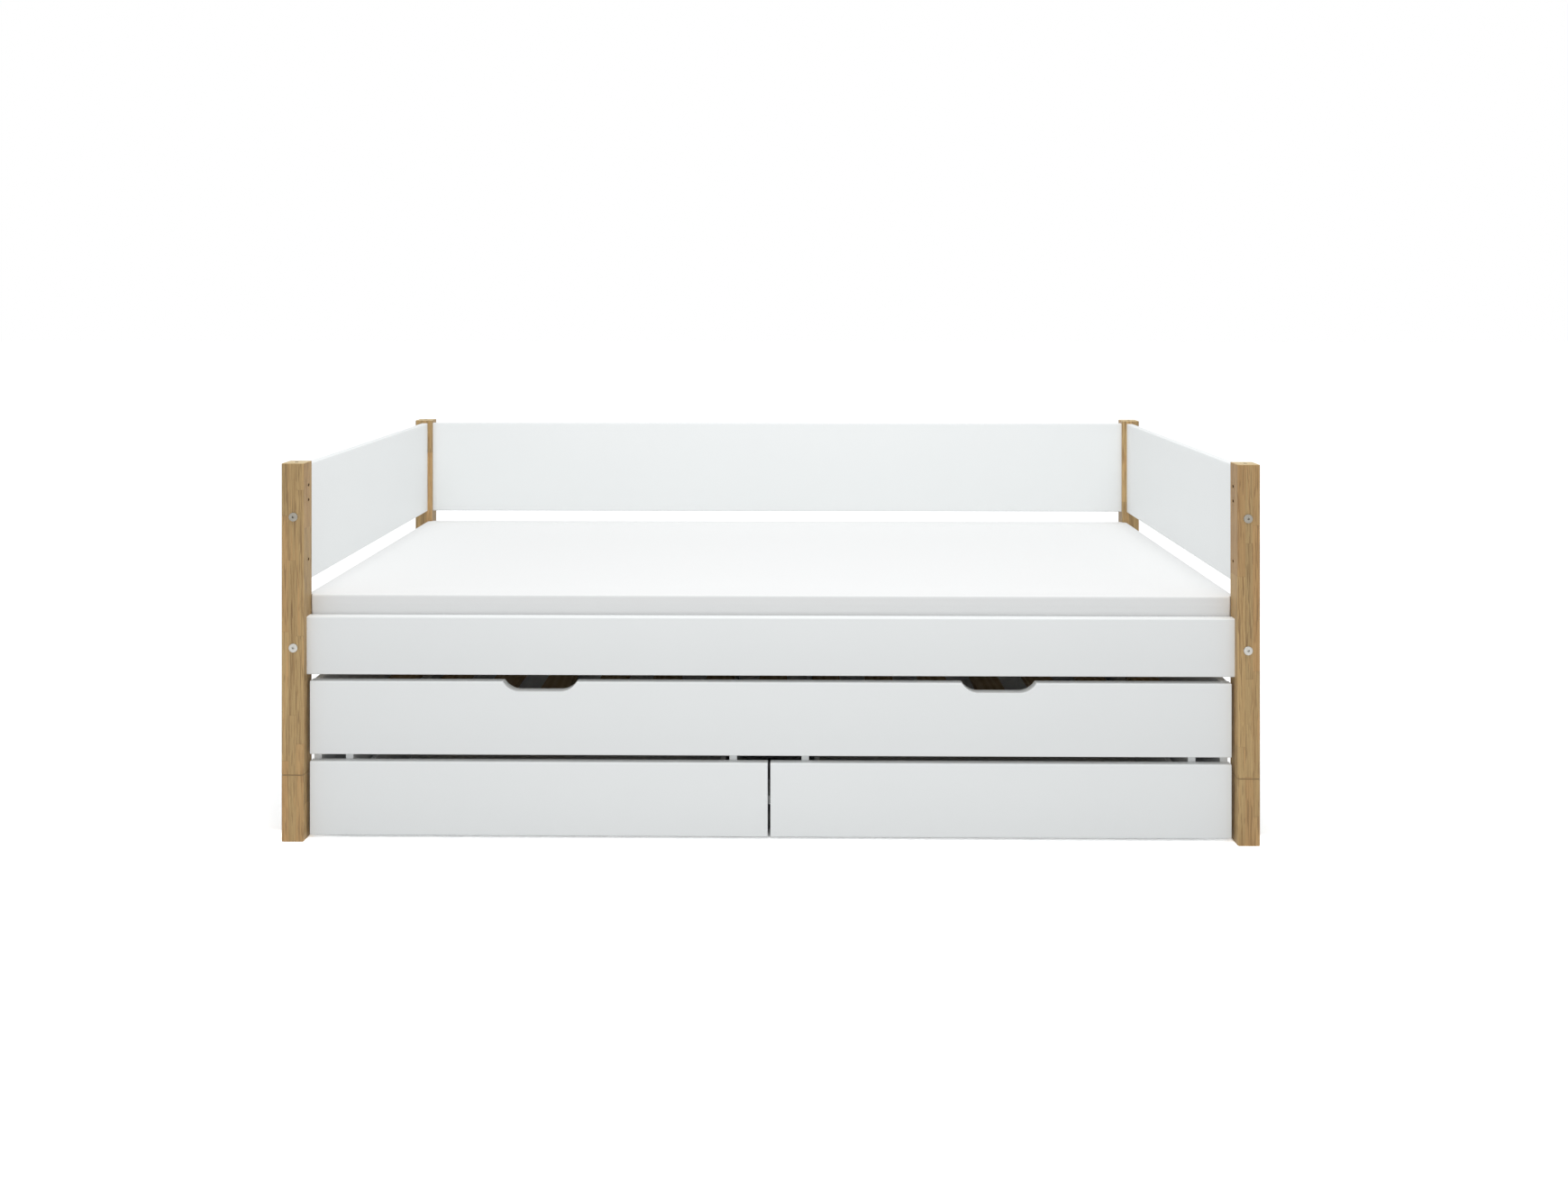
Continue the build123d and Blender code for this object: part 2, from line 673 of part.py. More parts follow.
with BuildPart() as castor_housing:
    with BuildSketch(Plane.XY.offset(castor_plate_top)):
        RectangleRounded(plate_width, plate_length, plate_corner)
    extrude(amount=-plate_thickness)
    with Locations(Plane(origin=(0, 0, castor_plate_top), z_dir=(0, 0, 1))):
        with GridLocations(plate_screw_pitch_wide, plate_screw_pitch_long, 2, 2):
            Hole(plate_screw_radius + peg_clearance, plate_thickness + cut_overrun)
    for _, x in sides:
        with BuildSketch(Plane.YZ.offset(x * cheek_inner)):
            with BuildLine():
                Polyline((-cheek_foot_radius, wheel_radius), (cheek_foot_radius, wheel_radius),
                         (cheek_top_width / 2, cheek_top), (-cheek_top_width / 2, cheek_top), close=True)
            make_face()
            with Locations((0, wheel_radius)):
                Circle(cheek_foot_radius)
                Circle(axle_radius + peg_clearance, mode=Mode.SUBTRACT)
        extrude(amount=x * cheek_thickness)

with BuildPart() as castor_wheel:
    with BuildSketch(Plane.XZ):
        with BuildLine():
            Polyline(
                (wheel_hub_width / 2, axle_radius + turning_clearance),
                (wheel_hub_width / 2, wheel_hub_radius),
                (wheel_width / 2 - wheel_dish, wheel_hub_radius),
                (wheel_width / 2 - wheel_dish, wheel_radius - wheel_rim),
                (wheel_width / 2, wheel_radius - wheel_rim),
                (wheel_width / 2, wheel_radius - wheel_edge),
                (wheel_width / 2 - wheel_edge, wheel_radius),
                (wheel_edge - wheel_width / 2, wheel_radius),
                (-wheel_width / 2, wheel_radius - wheel_edge),
                (-wheel_width / 2, wheel_radius - wheel_rim),
                (wheel_dish - wheel_width / 2, wheel_radius - wheel_rim),
                (wheel_dish - wheel_width / 2, wheel_hub_radius),
                (-wheel_hub_width / 2, wheel_hub_radius),
                (-wheel_hub_width / 2, axle_radius + turning_clearance),
                close=True,
            )
        make_face()
    revolve(axis=Axis.X)

with BuildPart() as castor_axle:
    with BuildSketch(Plane.YZ.offset(-cheek_outer)):
        Circle(axle_radius)
    extrude(amount=2 * cheek_outer)
    for _, x in sides:
        with BuildSketch(Plane.YZ.offset(x * cheek_outer)):
            Circle(axle_head_radius)
        extrude(amount=x * axle_head_height)

with BuildPart() as castor_housings:
    set_out(castor_housing, [Plane(origin=(x, y, 0)) for x, y in castor_spots])
save(castor_housings, "castor_housings")

with BuildPart() as castor_axles:
    set_out(castor_axle, [Plane(origin=(x, y, wheel_radius)) for x, y in castor_spots])
save(castor_axles, "castor_axles")

with BuildPart() as castor_screws:
    for x, y in castor_spots:
        for corner_x in (-plate_screw_pitch_wide / 2, plate_screw_pitch_wide / 2):
            for corner_y in (-plate_screw_pitch_long / 2, plate_screw_pitch_long / 2):
                place = Plane(origin=(x + corner_x, y + corner_y, cheek_top), z_dir=(0, 0, -1))
                add(plate_screw.part.moved(Location(place)))
save(castor_screws, "castor_screws")

for end, y in ends:
    with BuildPart() as wheels:
        set_out(castor_wheel, [Plane(origin=(x, y * castor_y, wheel_radius)) for x in castor_xs])
    save(wheels, f"{end}_wheels")

# Heights of the roller runners
channel_floor = floor_room + runner_rise
drawer_roller_z = channel_floor + roller_room + roller_radius
flange_under = drawer_roller_z + roller_radius + roller_head_room
flange_over = flange_under + runner_sheet
cabinet_roller_z = flange_under - roller_room - roller_radius
channel_ceiling = flange_over + flange_room
channel_front = -(rail_inner - runner_front_room)
runner_length = drawer_depth - runner_back_room
channel_back = channel_front + runner_length
cabinet_roller_y = channel_front + roller_end_room
drawer_front_thickness = rail_thickness - partition_front_room
member_front = -(rail_outer - drawer_front_thickness - member_front_room)
member_back = member_front + runner_length
drawer_roller_y = member_back - roller_end_room
drawer_side_bottom = floor_room
drawer_side_top = deck_bottom - drawer_top_room
web_bottom = drawer_side_bottom - runner_sheet

# Where each drawer's runners stand: the partition's face, and the way from it to the drawer
drawer_walls = {}
for side, x in sides:
    inner_face = x * (inner_wall + partition_thickness)
    outer_face = x * (outer_wall - partition_thickness)
    drawer_walls[side] = ((inner_face, x), (outer_face, -x))


def strip(wall, way, near, far, y_span, z_span):
    """A strip of sheet along Y, between two distances from a partition's face."""
    x_low, x_high = span(wall + way * near, wall + way * far)
    with Locations(((x_low + x_high) / 2, sum(y_span) / 2, sum(z_span) / 2)):
        Box(x_high - x_low, y_span[1] - y_span[0], z_span[1] - z_span[0])


def pin(x_from, x_to, y, z, radius):
    """A round pin along X."""
    with Locations(Plane(origin=((x_from + x_to) / 2, y, z), z_dir=(1, 0, 0))):
        Cylinder(radius, abs(x_to - x_from))


def roller(x_from, x_to, y, z):
    """A roller with its bore, along X."""
    with Locations(Plane(origin=((x_from + x_to) / 2, y, z), z_dir=(1, 0, 0))):
        Cylinder(roller_radius, abs(x_to - x_from))
        Cylinder(roller_pin_radius + turning_clearance, abs(x_to - x_from), mode=Mode.SUBTRACT)


# Distances from a partition's face, worked out from the room between it and the drawer's side
cabinet_roller_near = runner_sheet + roller_web_room
drawer_web_near = runner_width - runner_sheet
roller_width = (drawer_web_near - cabinet_roller_near - roller_pin_room - roller_pin_head
                - roller_pin_clearance)
cabinet_roller_far = cabinet_roller_near + roller_width
drawer_roller_far = drawer_web_near - roller_web_room
drawer_roller_near = drawer_roller_far - roller_width
channel_lip = drawer_web_near - channel_lip_room
running_flange_near = runner_sheet + running_flange_room

# Channels on the partitions, each with the pin of the roller at its front
with BuildPart() as cabinet_runners:
    for side, x in sides:
        for wall, way in drawer_walls[side]:
            y_span = (channel_front, channel_back)
            strip(wall, way, 0, runner_sheet, y_span,
                  (channel_floor - runner_sheet, channel_ceiling + runner_sheet))
            strip(wall, way, 0, channel_lip, y_span,
                  (channel_floor - runner_sheet, channel_floor))
            strip(wall, way, 0, channel_lip, y_span,
                  (channel_ceiling, channel_ceiling + runner_sheet))
            pin_end = cabinet_roller_far + roller_pin_room
            pin(wall, wall + way * pin_end, cabinet_roller_y, cabinet_roller_z, roller_pin_radius)
            pin(wall + way * pin_end, wall + way * (pin_end + roller_pin_head), cabinet_roller_y,
                cabinet_roller_z, roller_pin_head_radius)
save(cabinet_runners, "cabinet_runners")

for side, x in sides:
    with BuildPart() as cabinet_rollers:
        for wall, way in drawer_walls[side]:
            roller(wall + way * cabinet_roller_near, wall + way * cabinet_roller_far,
                   cabinet_roller_y, cabinet_roller_z)
    save(cabinet_rollers, f"{side}_cabinet_rollers")

    with BuildPart() as drawer_rollers:
        for wall, way in drawer_walls[side]:
            roller(wall + way * drawer_roller_near, wall + way * drawer_roller_far,
                   drawer_roller_y, drawer_roller_z)
    save(drawer_rollers, f"{side}_drawer_rollers")

    # Drawer members: a web on the drawer's side, a lip under it and a flange that runs on the roller
    with BuildPart() as drawer_runners:
        for wall, way in drawer_walls[side]:
            y_span = (member_front, member_back)
            strip(wall, way, drawer_web_near, runner_width, y_span, (web_bottom, channel_ceiling + web_top))
            strip(wall, way, drawer_web_near, runner_width + drawer_side_thickness, y_span,
                  (web_bottom, drawer_side_bottom))
            strip(wall, way, running_flange_near, runner_width, y_span,
                  (flange_under, flange_over))
            pin_end = drawer_roller_near - roller_pin_room
            pin(wall + way * drawer_web_near, wall + way * pin_end, drawer_roller_y, drawer_roller_z,
                roller_pin_radius)
            pin(wall + way * pin_end, wall + way * (pin_end - roller_pin_head), drawer_roller_y,
                drawer_roller_z, roller_pin_head_radius)
    save(drawer_runners, f"{side}_drawer_runners")

# Drawer boxes: a lacquered front, two sides, a back and a thin bottom held in grooves
box_front = -(rail_outer - drawer_front_thickness)
box_back = box_front + drawer_depth
panel_bottom = drawer_side_bottom + drawer_panel_rise
panel_top = panel_bottom + drawer_panel_thickness
groove_span = (panel_bottom - groove_clearance, panel_top + groove_clearance)
drawer_dowel_zs = [panel_top + (drawer_side_top - panel_top) * share for share in drawer_dowel_shares]
drawer_dowel_half = drawer_dowel_length / 2
back_dowel_depth = drawer_dowel_length - drawer_dowel_bite + dowel_end_room
for side, x in sides:
    front_span = span(x * drawer_middle_gap / 2, x * pull_half)
    side_spans = [span(wall + way * runner_width, wall + way * (runner_width + drawer_side_thickness))
                  for wall, way in drawer_walls[side]]
    side_inners = [(wall + way * (runner_width + drawer_side_thickness), way)
                   for wall, way in drawer_walls[side]]
    box_low, box_high = sorted(face for face, _ in side_inners)
    groove_low = box_low - groove_depth
    groove_high = box_high + groove_depth

    with BuildPart() as drawer_front:
        board_along_x(front_span, (-rail_outer, box_front), (drawer_bottom, drawer_top), board_edge)
        with Locations(((groove_low + groove_high) / 2, box_front, sum(groove_span) / 2)):
            Box(groove_high - groove_low, 2 * groove_depth, groove_span[1] - groove_span[0],
                mode=Mode.SUBTRACT)
        for low, high in side_spans:
            for z in drawer_dowel_zs:
                drill(((low + high) / 2, box_front, z), (0, 1, 0), small_dowel_bore,
                      drawer_dowel_half + dowel_end_room)
    save(drawer_front, f"{side}_drawer_front")

    with BuildPart() as drawer_sides:
        for (low, high), (face, way) in zip(side_spans, side_inners):
            board_along_y((low, high), (box_front, box_back), (drawer_side_bottom, drawer_side_top),
                          drawer_board_edge)
            with Locations((face, (box_front + box_back) / 2, sum(groove_span) / 2)):
                Box(2 * groove_depth, drawer_depth, groove_span[1] - groove_span[0], mode=Mode.SUBTRACT)
            for z in drawer_dowel_zs:
                drill(((low + high) / 2, box_front, z), (0, -1, 0), small_dowel_bore,
                      drawer_dowel_half + dowel_end_room)
                drill((face, box_back - drawer_side_thickness / 2, z), (way, 0, 0), small_dowel_bore,
                      drawer_dowel_bite + dowel_end_room)
    save(drawer_sides, f"{side}_drawer_sides")

    with BuildPart() as drawer_back:
        board_along_x((box_low, box_high), (box_back - drawer_side_thickness, box_back),
                      (panel_top, drawer_side_top), drawer_board_edge)
        for face, way in side_inners:
            for z in drawer_dowel_zs:
                drill((face, box_back - drawer_side_thickness / 2, z), (-way, 0, 0), small_dowel_bore,
                      back_dowel_depth)
    save(drawer_back, f"{side}_drawer_back")

    with BuildPart() as drawer_panel:
        panel_low = groove_low + groove_clearance
        panel_high = groove_high - groove_clearance
        panel_front = box_front - groove_depth + groove_clearance
        with Locations(((panel_low + panel_high) / 2, (panel_front + box_back) / 2,
                        (panel_bottom + panel_top) / 2)):
            Box(panel_high - panel_low, box_back - panel_front, drawer_panel_thickness)
    save(drawer_panel, f"{side}_drawer_bottom")

    drawer_dowel_places = []
    for (low, high), (face, way) in zip(side_spans, side_inners):
        for z in drawer_dowel_zs:
            drawer_dowel_places.append(Plane(origin=((low + high) / 2, box_front, z), z_dir=(0, 1, 0)))
            centre_x = face + way * (drawer_dowel_half - drawer_dowel_bite)
            drawer_dowel_places.append(
                Plane(origin=(centre_x, box_back - drawer_side_thickness / 2, z), z_dir=(1, 0, 0)))
    with BuildPart() as drawer_dowels:
        set_out(drawer_dowel, drawer_dowel_places)
    save(drawer_dowels, f"{side}_drawer_dowels")
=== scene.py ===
"""A storage daybed as it is put together: four oiled posts on leg blocks, white lacquered rails and
guards, a slatted base with its mattress, and a roll-out bed on castors that carries two drawers."""

import bpy
import numpy as np
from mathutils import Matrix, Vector
from mathutils.bvhtree import BVHTree


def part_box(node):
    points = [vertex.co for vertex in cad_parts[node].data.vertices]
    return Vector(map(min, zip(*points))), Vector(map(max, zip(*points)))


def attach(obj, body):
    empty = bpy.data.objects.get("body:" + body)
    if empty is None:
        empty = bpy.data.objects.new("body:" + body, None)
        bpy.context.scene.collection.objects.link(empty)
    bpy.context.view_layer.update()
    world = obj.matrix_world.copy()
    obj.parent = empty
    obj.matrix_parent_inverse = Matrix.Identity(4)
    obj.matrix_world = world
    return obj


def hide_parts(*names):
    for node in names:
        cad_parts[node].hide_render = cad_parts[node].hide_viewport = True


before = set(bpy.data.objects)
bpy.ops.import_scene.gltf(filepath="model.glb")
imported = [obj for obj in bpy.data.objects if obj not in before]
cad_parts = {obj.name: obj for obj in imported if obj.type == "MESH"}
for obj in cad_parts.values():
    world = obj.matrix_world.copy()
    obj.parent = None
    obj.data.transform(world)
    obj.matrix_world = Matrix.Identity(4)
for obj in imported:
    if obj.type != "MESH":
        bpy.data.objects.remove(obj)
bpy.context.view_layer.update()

# Camera. The bed is seen square from the front, a little above the posts' tops, with the horizon
# raised by a shift of the lens, so that upright edges stay upright.
picture_width = 1740
picture_height = 1306
focal_length_px = 1383.05
horizon_px = 330.91
sensor_width = 36.0
camera_place = (0.06005, -3.14906, 1.1636)
camera_turn = 0.01041


def add_object(name, data):
    """Puts an object made of this data into the scene."""
    thing = bpy.data.objects.new(name, data)
    bpy.context.scene.collection.objects.link(thing)
    return thing


lens = bpy.data.cameras.new("camera")
lens.sensor_width = sensor_width
lens.lens = focal_length_px / picture_width * sensor_width
lens.shift_y = (horizon_px - picture_height / 2) / picture_width
camera = add_object("camera", lens)
camera.location = camera_place
camera.rotation_euler = (np.pi / 2, 0.0, camera_turn)
bpy.context.scene.camera = camera
bpy.context.scene.view_settings.view_transform = "Standard"


# Studio. A white floor without end under an even white dome, a wide soft lamp over the bed, and a
# long low one in front, which also reaches into the gaps under the rail. The floor is seen whiter
# than it lights the bed, past the bed and on the line under its front, and keeps its shade below.
floor_half = 30.0
floor_white = (0.7, 0.7, 0.7, 1.0)
floor_lift = (0.85, 1.3)
floor_lift_reach = (1.0, 5.5)
contact_line = -0.475
contact_lift = 2.2
contact_reach = (0.02, 0.06)
floor_shade_x = (0.95, 1.0)
floor_shade_front = (0.40, 0.46)
floor_shade_back = (0.38, 0.46)
dome_light = (0.985, 0.995, 1.0, 1.0)
dome_strength = 0.60
dome_seen = (1.0, 1.0, 1.0, 1.0)
lamps = {
    "overhead_lamp": {"place": (0.12, -0.7, 3.2), "aim": (0.0, -0.2, 0.4), "size": (3.0, 2.0),
                      "power": 44.5},
    "front_lamp": {"place": (0.0, -3.2, 1.2), "aim": (0.0, -0.4, 0.3), "size": (2.4, 0.22),
                   "power": 14.5},
}


def start_material(name):
    """A node material with nothing in it."""
    material = bpy.data.materials.new(name)
    material.use_nodes = True
    material.node_tree.nodes.clear()
    return material, material.node_tree


def add_node(tree, kind, inputs=None, **settings):
    """A node with its settings. Each input is a value, or the socket that feeds it."""
    node = tree.nodes.new(kind)
    for name, value in settings.items():
        setattr(node, name, value)
    for key, value in (inputs or {}).items():
        if isinstance(value, bpy.types.NodeSocket):
            tree.links.new(value, node.inputs[key])
        else:
            node.inputs[key].default_value = value
    return node


def calc(tree, operation, a, b=0.0):
    """One sum of two numbers or sockets."""
    return add_node(tree, "ShaderNodeMath", {0: a, 1: b}, operation=operation).outputs[0]


def spread(tree, value, low, high, first=0.0, last=1.0, kind="LINEAR"):
    """A value from low to high carried over to first to last, and held outside them."""
    return add_node(tree, "ShaderNodeMapRange",
                    {"Value": value, "From Min": low, "From Max": high, "To Min": first,
                     "To Max": last}, interpolation_type=kind).outputs[0]


def xyz(tree, x=0.0, y=0.0, z=0.0):
    """A vector from three numbers or sockets."""
    return add_node(tree, "ShaderNodeCombineXYZ", {0: x, 1: y, 2: z}).outputs[0]


def axes(tree, vector):
    """The three numbers of a vector."""
    return add_node(tree, "ShaderNodeSeparateXYZ", {0: vector}).outputs


def own_place(tree):
    """Where a point lies on its own object."""
    return add_node(tree, "ShaderNodeTexCoord").outputs["Object"]


def seen_directly(tree):
    """1 for rays from the camera, a mirror or clear glass, and 0 for those that carry light."""
    path = add_node(tree, "ShaderNodeLightPath").outputs
    seen = calc(tree, "MAXIMUM", path["Is Camera Ray"], path["Is Glossy Ray"])
    return calc(tree, "MAXIMUM", seen, path["Is Transmission Ray"])


world = bpy.data.worlds.new("dome")
world.use_nodes = True
tree = world.node_tree
tree.nodes.clear()
light = add_node(tree, "ShaderNodeBackground", {"Color": dome_light, "Strength": dome_strength})
white = add_node(tree, "ShaderNodeBackground", {"Color": dome_seen, "Strength": 1.0})
dome = add_node(tree, "ShaderNodeMixShader",
                {0: seen_directly(tree), 1: light.outputs[0], 2: white.outputs[0]})
add_node(tree, "ShaderNodeOutputWorld", {"Surface": dome.outputs[0]})
bpy.context.scene.world = world


def add_mesh(name, points, edges=(), faces=()):
    """Puts a mesh object made of these points, edges and faces into the scene."""
    mesh = bpy.data.meshes.new(name)
    mesh.from_pydata(points, edges, faces)
    return add_object(name, mesh)


floor_corners = [(x * floor_half, y * floor_half, 0) for x, y in ((-1, -1), (1, -1), (1, 1), (-1, 1))]
floor = add_mesh("studio_floor", floor_corners, faces=[(0, 1, 2, 3)])
floor_paint, tree = start_material("studio_floor")
floor_x, floor_y, _ = axes(tree, own_place(tree))
past_bed = 0.0
for value, way, (near, far) in ((floor_x, 1, floor_shade_x), (floor_x, -1, floor_shade_x),
                                (floor_y, -1, floor_shade_front), (floor_y, 1, floor_shade_back)):
    past = spread(tree, value, way * near, way * far, kind="SMOOTHSTEP")
    past_bed = calc(tree, "MAXIMUM", past_bed, past)
from_lamps = add_node(tree, "ShaderNodeVectorMath", {0: xyz(tree, floor_x, floor_y)},
                      operation="LENGTH").outputs["Value"]
lift = spread(tree, from_lamps, *floor_lift_reach, *floor_lift, kind="SMOOTHSTEP")
from_line = calc(tree, "ABSOLUTE", calc(tree, "SUBTRACT", floor_y, contact_line))
lift = calc(tree, "MAXIMUM", lift, spread(tree, from_line, *contact_reach, contact_lift, 0.0))
lift = calc(tree, "MULTIPLY", calc(tree, "MULTIPLY", seen_directly(tree), past_bed), lift)
floor_lit = add_node(tree, "ShaderNodeBsdfDiffuse", {"Color": floor_white})
floor_lifted = add_node(tree, "ShaderNodeBsdfDiffuse", {"Color": xyz(tree, lift, lift, lift)})
floor_both = add_node(tree, "ShaderNodeAddShader",
                      {0: floor_lit.outputs[0], 1: floor_lifted.outputs[0]})
add_node(tree, "ShaderNodeOutputMaterial", {"Surface": floor_both.outputs[0]})
floor.data.materials.append(floor_paint)

for name, lit in lamps.items():
    lamp = bpy.data.lights.new(name, "AREA")
    lamp.shape = "RECTANGLE"
    lamp.size, lamp.size_y = lit["size"]
    lamp.energy = lit["power"]
    lamp_stand = add_object(name, lamp)
    lamp_stand.location = lit["place"]
    aim = Vector(lit["aim"]) - Vector(lit["place"])
    lamp_stand.rotation_euler = aim.to_track_quat("-Z", "Y").to_euler()


# Posts and leg blocks. Solid oak, glued up from narrow finger-jointed staves that run from floor to
# top, planed, rounded at the corners and oiled. A stud joins each leg block to its post.
stave_width = 0.016
stave_block_length = 0.29
stave_offset = 17.37
post_offset = 5.13
post_seeds = {"front_left": 3, "front_right": 8, "back_left": 5, "back_right": 12}
block_chance = 0.7
glue_line = 0.00035
glue_shade = 0.15
end_joint = 1.6 * glue_line
end_joint_shade = 0.45
# Painted shade: a dark line for the shade in the leg's joint groove, and darkened bore walls.
leg_joint = 0.0018
painted_groove_shade = 0.9
bore_shade_depth = (0.0010, 0.0016)
oak_log_size = (3.1, 2.3, 5.7)
oak_stretch = (1.0, 1.0, 0.045)
oak_tone = (0.34, 0.76)
middle_tone = 0.42
block_shade = (0.22, 0.91)
warm_blocks = (0.5, 1.0, 0.45)
warm_heart = (0.57, 0.66, 0.5)
late_wood = (0.57, 0.63, 0.5)
open_pores = (0.6, 0.75, 0.2)
sawn_end = (0.6, 0.9)
end_streaks = 0.5
oak_gloss = (0.42, 0.56)
wood_relief = 0.0002
oak_dark = (0.29, 0.17, 0.068, 1.0)
oak_middle = (0.435, 0.29, 0.13, 1.0)
oak_light = (0.55, 0.385, 0.18, 1.0)
oak_warm = (0.51, 0.275, 0.11, 1.0)
oak_end = (0.64, 0.5, 0.265, 1.0)
dark_lines_and_groove_shade = (0.17, 0.095, 0.04, 1.0)
bore_painted_shade = (0.05, 0.026, 0.011, 1.0)


def vector_calc(tree, operation, a, b):
    """One sum of two vectors."""
    return add_node(tree, "ShaderNodeVectorMath", {0: a, 1: b}, operation=operation).outputs[0]


def weighted(tree, *shares):
    """The sum of some values, each times its weight."""
    parts = [calc(tree, "MULTIPLY", value, weight) for value, weight in shares]
    total = parts[0]
    for part in parts[1:]:
        total = calc(tree, "ADD", total, part)
    return total


def part_of(tree, value, low, high, most):
    """A share that grows from nothing at low to its most at high."""
    return calc(tree, "MULTIPLY", spread(tree, value, low, high), most)


def between(tree, share, low, high):
    """The value that lies at a share of the way from low to high."""
    return spread(tree, share, 0.0, 1.0, low, high)


def noise(tree, place, scale, detail, roughness=0.5, distortion=0.0):
    """Cloudy noise from 0 to 1."""
    return add_node(tree, "ShaderNodeTexNoise",
                    {"Vector": place, "Scale": scale, "Detail": detail, "Roughness": roughness,
                     "Distortion": distortion}).outputs[0]


def blend_colours(tree, share, a, b, kind="MIX"):
    """Two colours mixed by a share."""
    return add_node(tree, "ShaderNodeMix", {0: share, 6: a, 7: b}, data_type="RGBA",
                    blend_type=kind).outputs[2]


def grain_place(tree, place, chance, log_size, stretch):
    """Where a point lies in the grain, which starts elsewhere in the log for each piece of wood."""
    moved = vector_calc(tree, "ADD", place, vector_calc(tree, "MULTIPLY", chance, log_size))
    return add_node(tree, "ShaderNodeMapping", {"Vector": moved, "Scale": stretch}).outputs[0]


def vary_shade(tree, colour, chance, reach, lowest):
    """Makes each piece of wood a little lighter or darker than the next."""
    shade = calc(tree, "ADD", calc(tree, "MULTIPLY", chance, reach), lowest)
    return blend_colours(tree, 1.0, colour, xyz(tree, shade, shade, shade), "MULTIPLY")


def relief(tree, height, strength, depth, over=None):
    """The way a surface faces with small heights on it, laid over another relief if there is one."""
    inputs = {"Strength": strength, "Distance": depth, "Height": height}
    if over is not None:
        inputs["Normal"] = over
    return add_node(tree, "ShaderNodeBump", inputs).outputs[0]


def coat(tree, colour, gloss, normal, more=None):
    """Ends a material with a surface of this colour, roughness and relief, and what else it has."""
    surface = add_node(tree, "ShaderNodeBsdfPrincipled",
                       {"Base Color": colour, "Roughness": gloss, "Normal": normal, **(more or {})})
    add_node(tree, "ShaderNodeOutputMaterial", {"Surface": surface.outputs[0]})


def dress(material, *names):
    """Gives the solids with these names their finish."""
    for name in names:
        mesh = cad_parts[name].data
        mesh.materials.clear()
        mesh.materials.append(material)


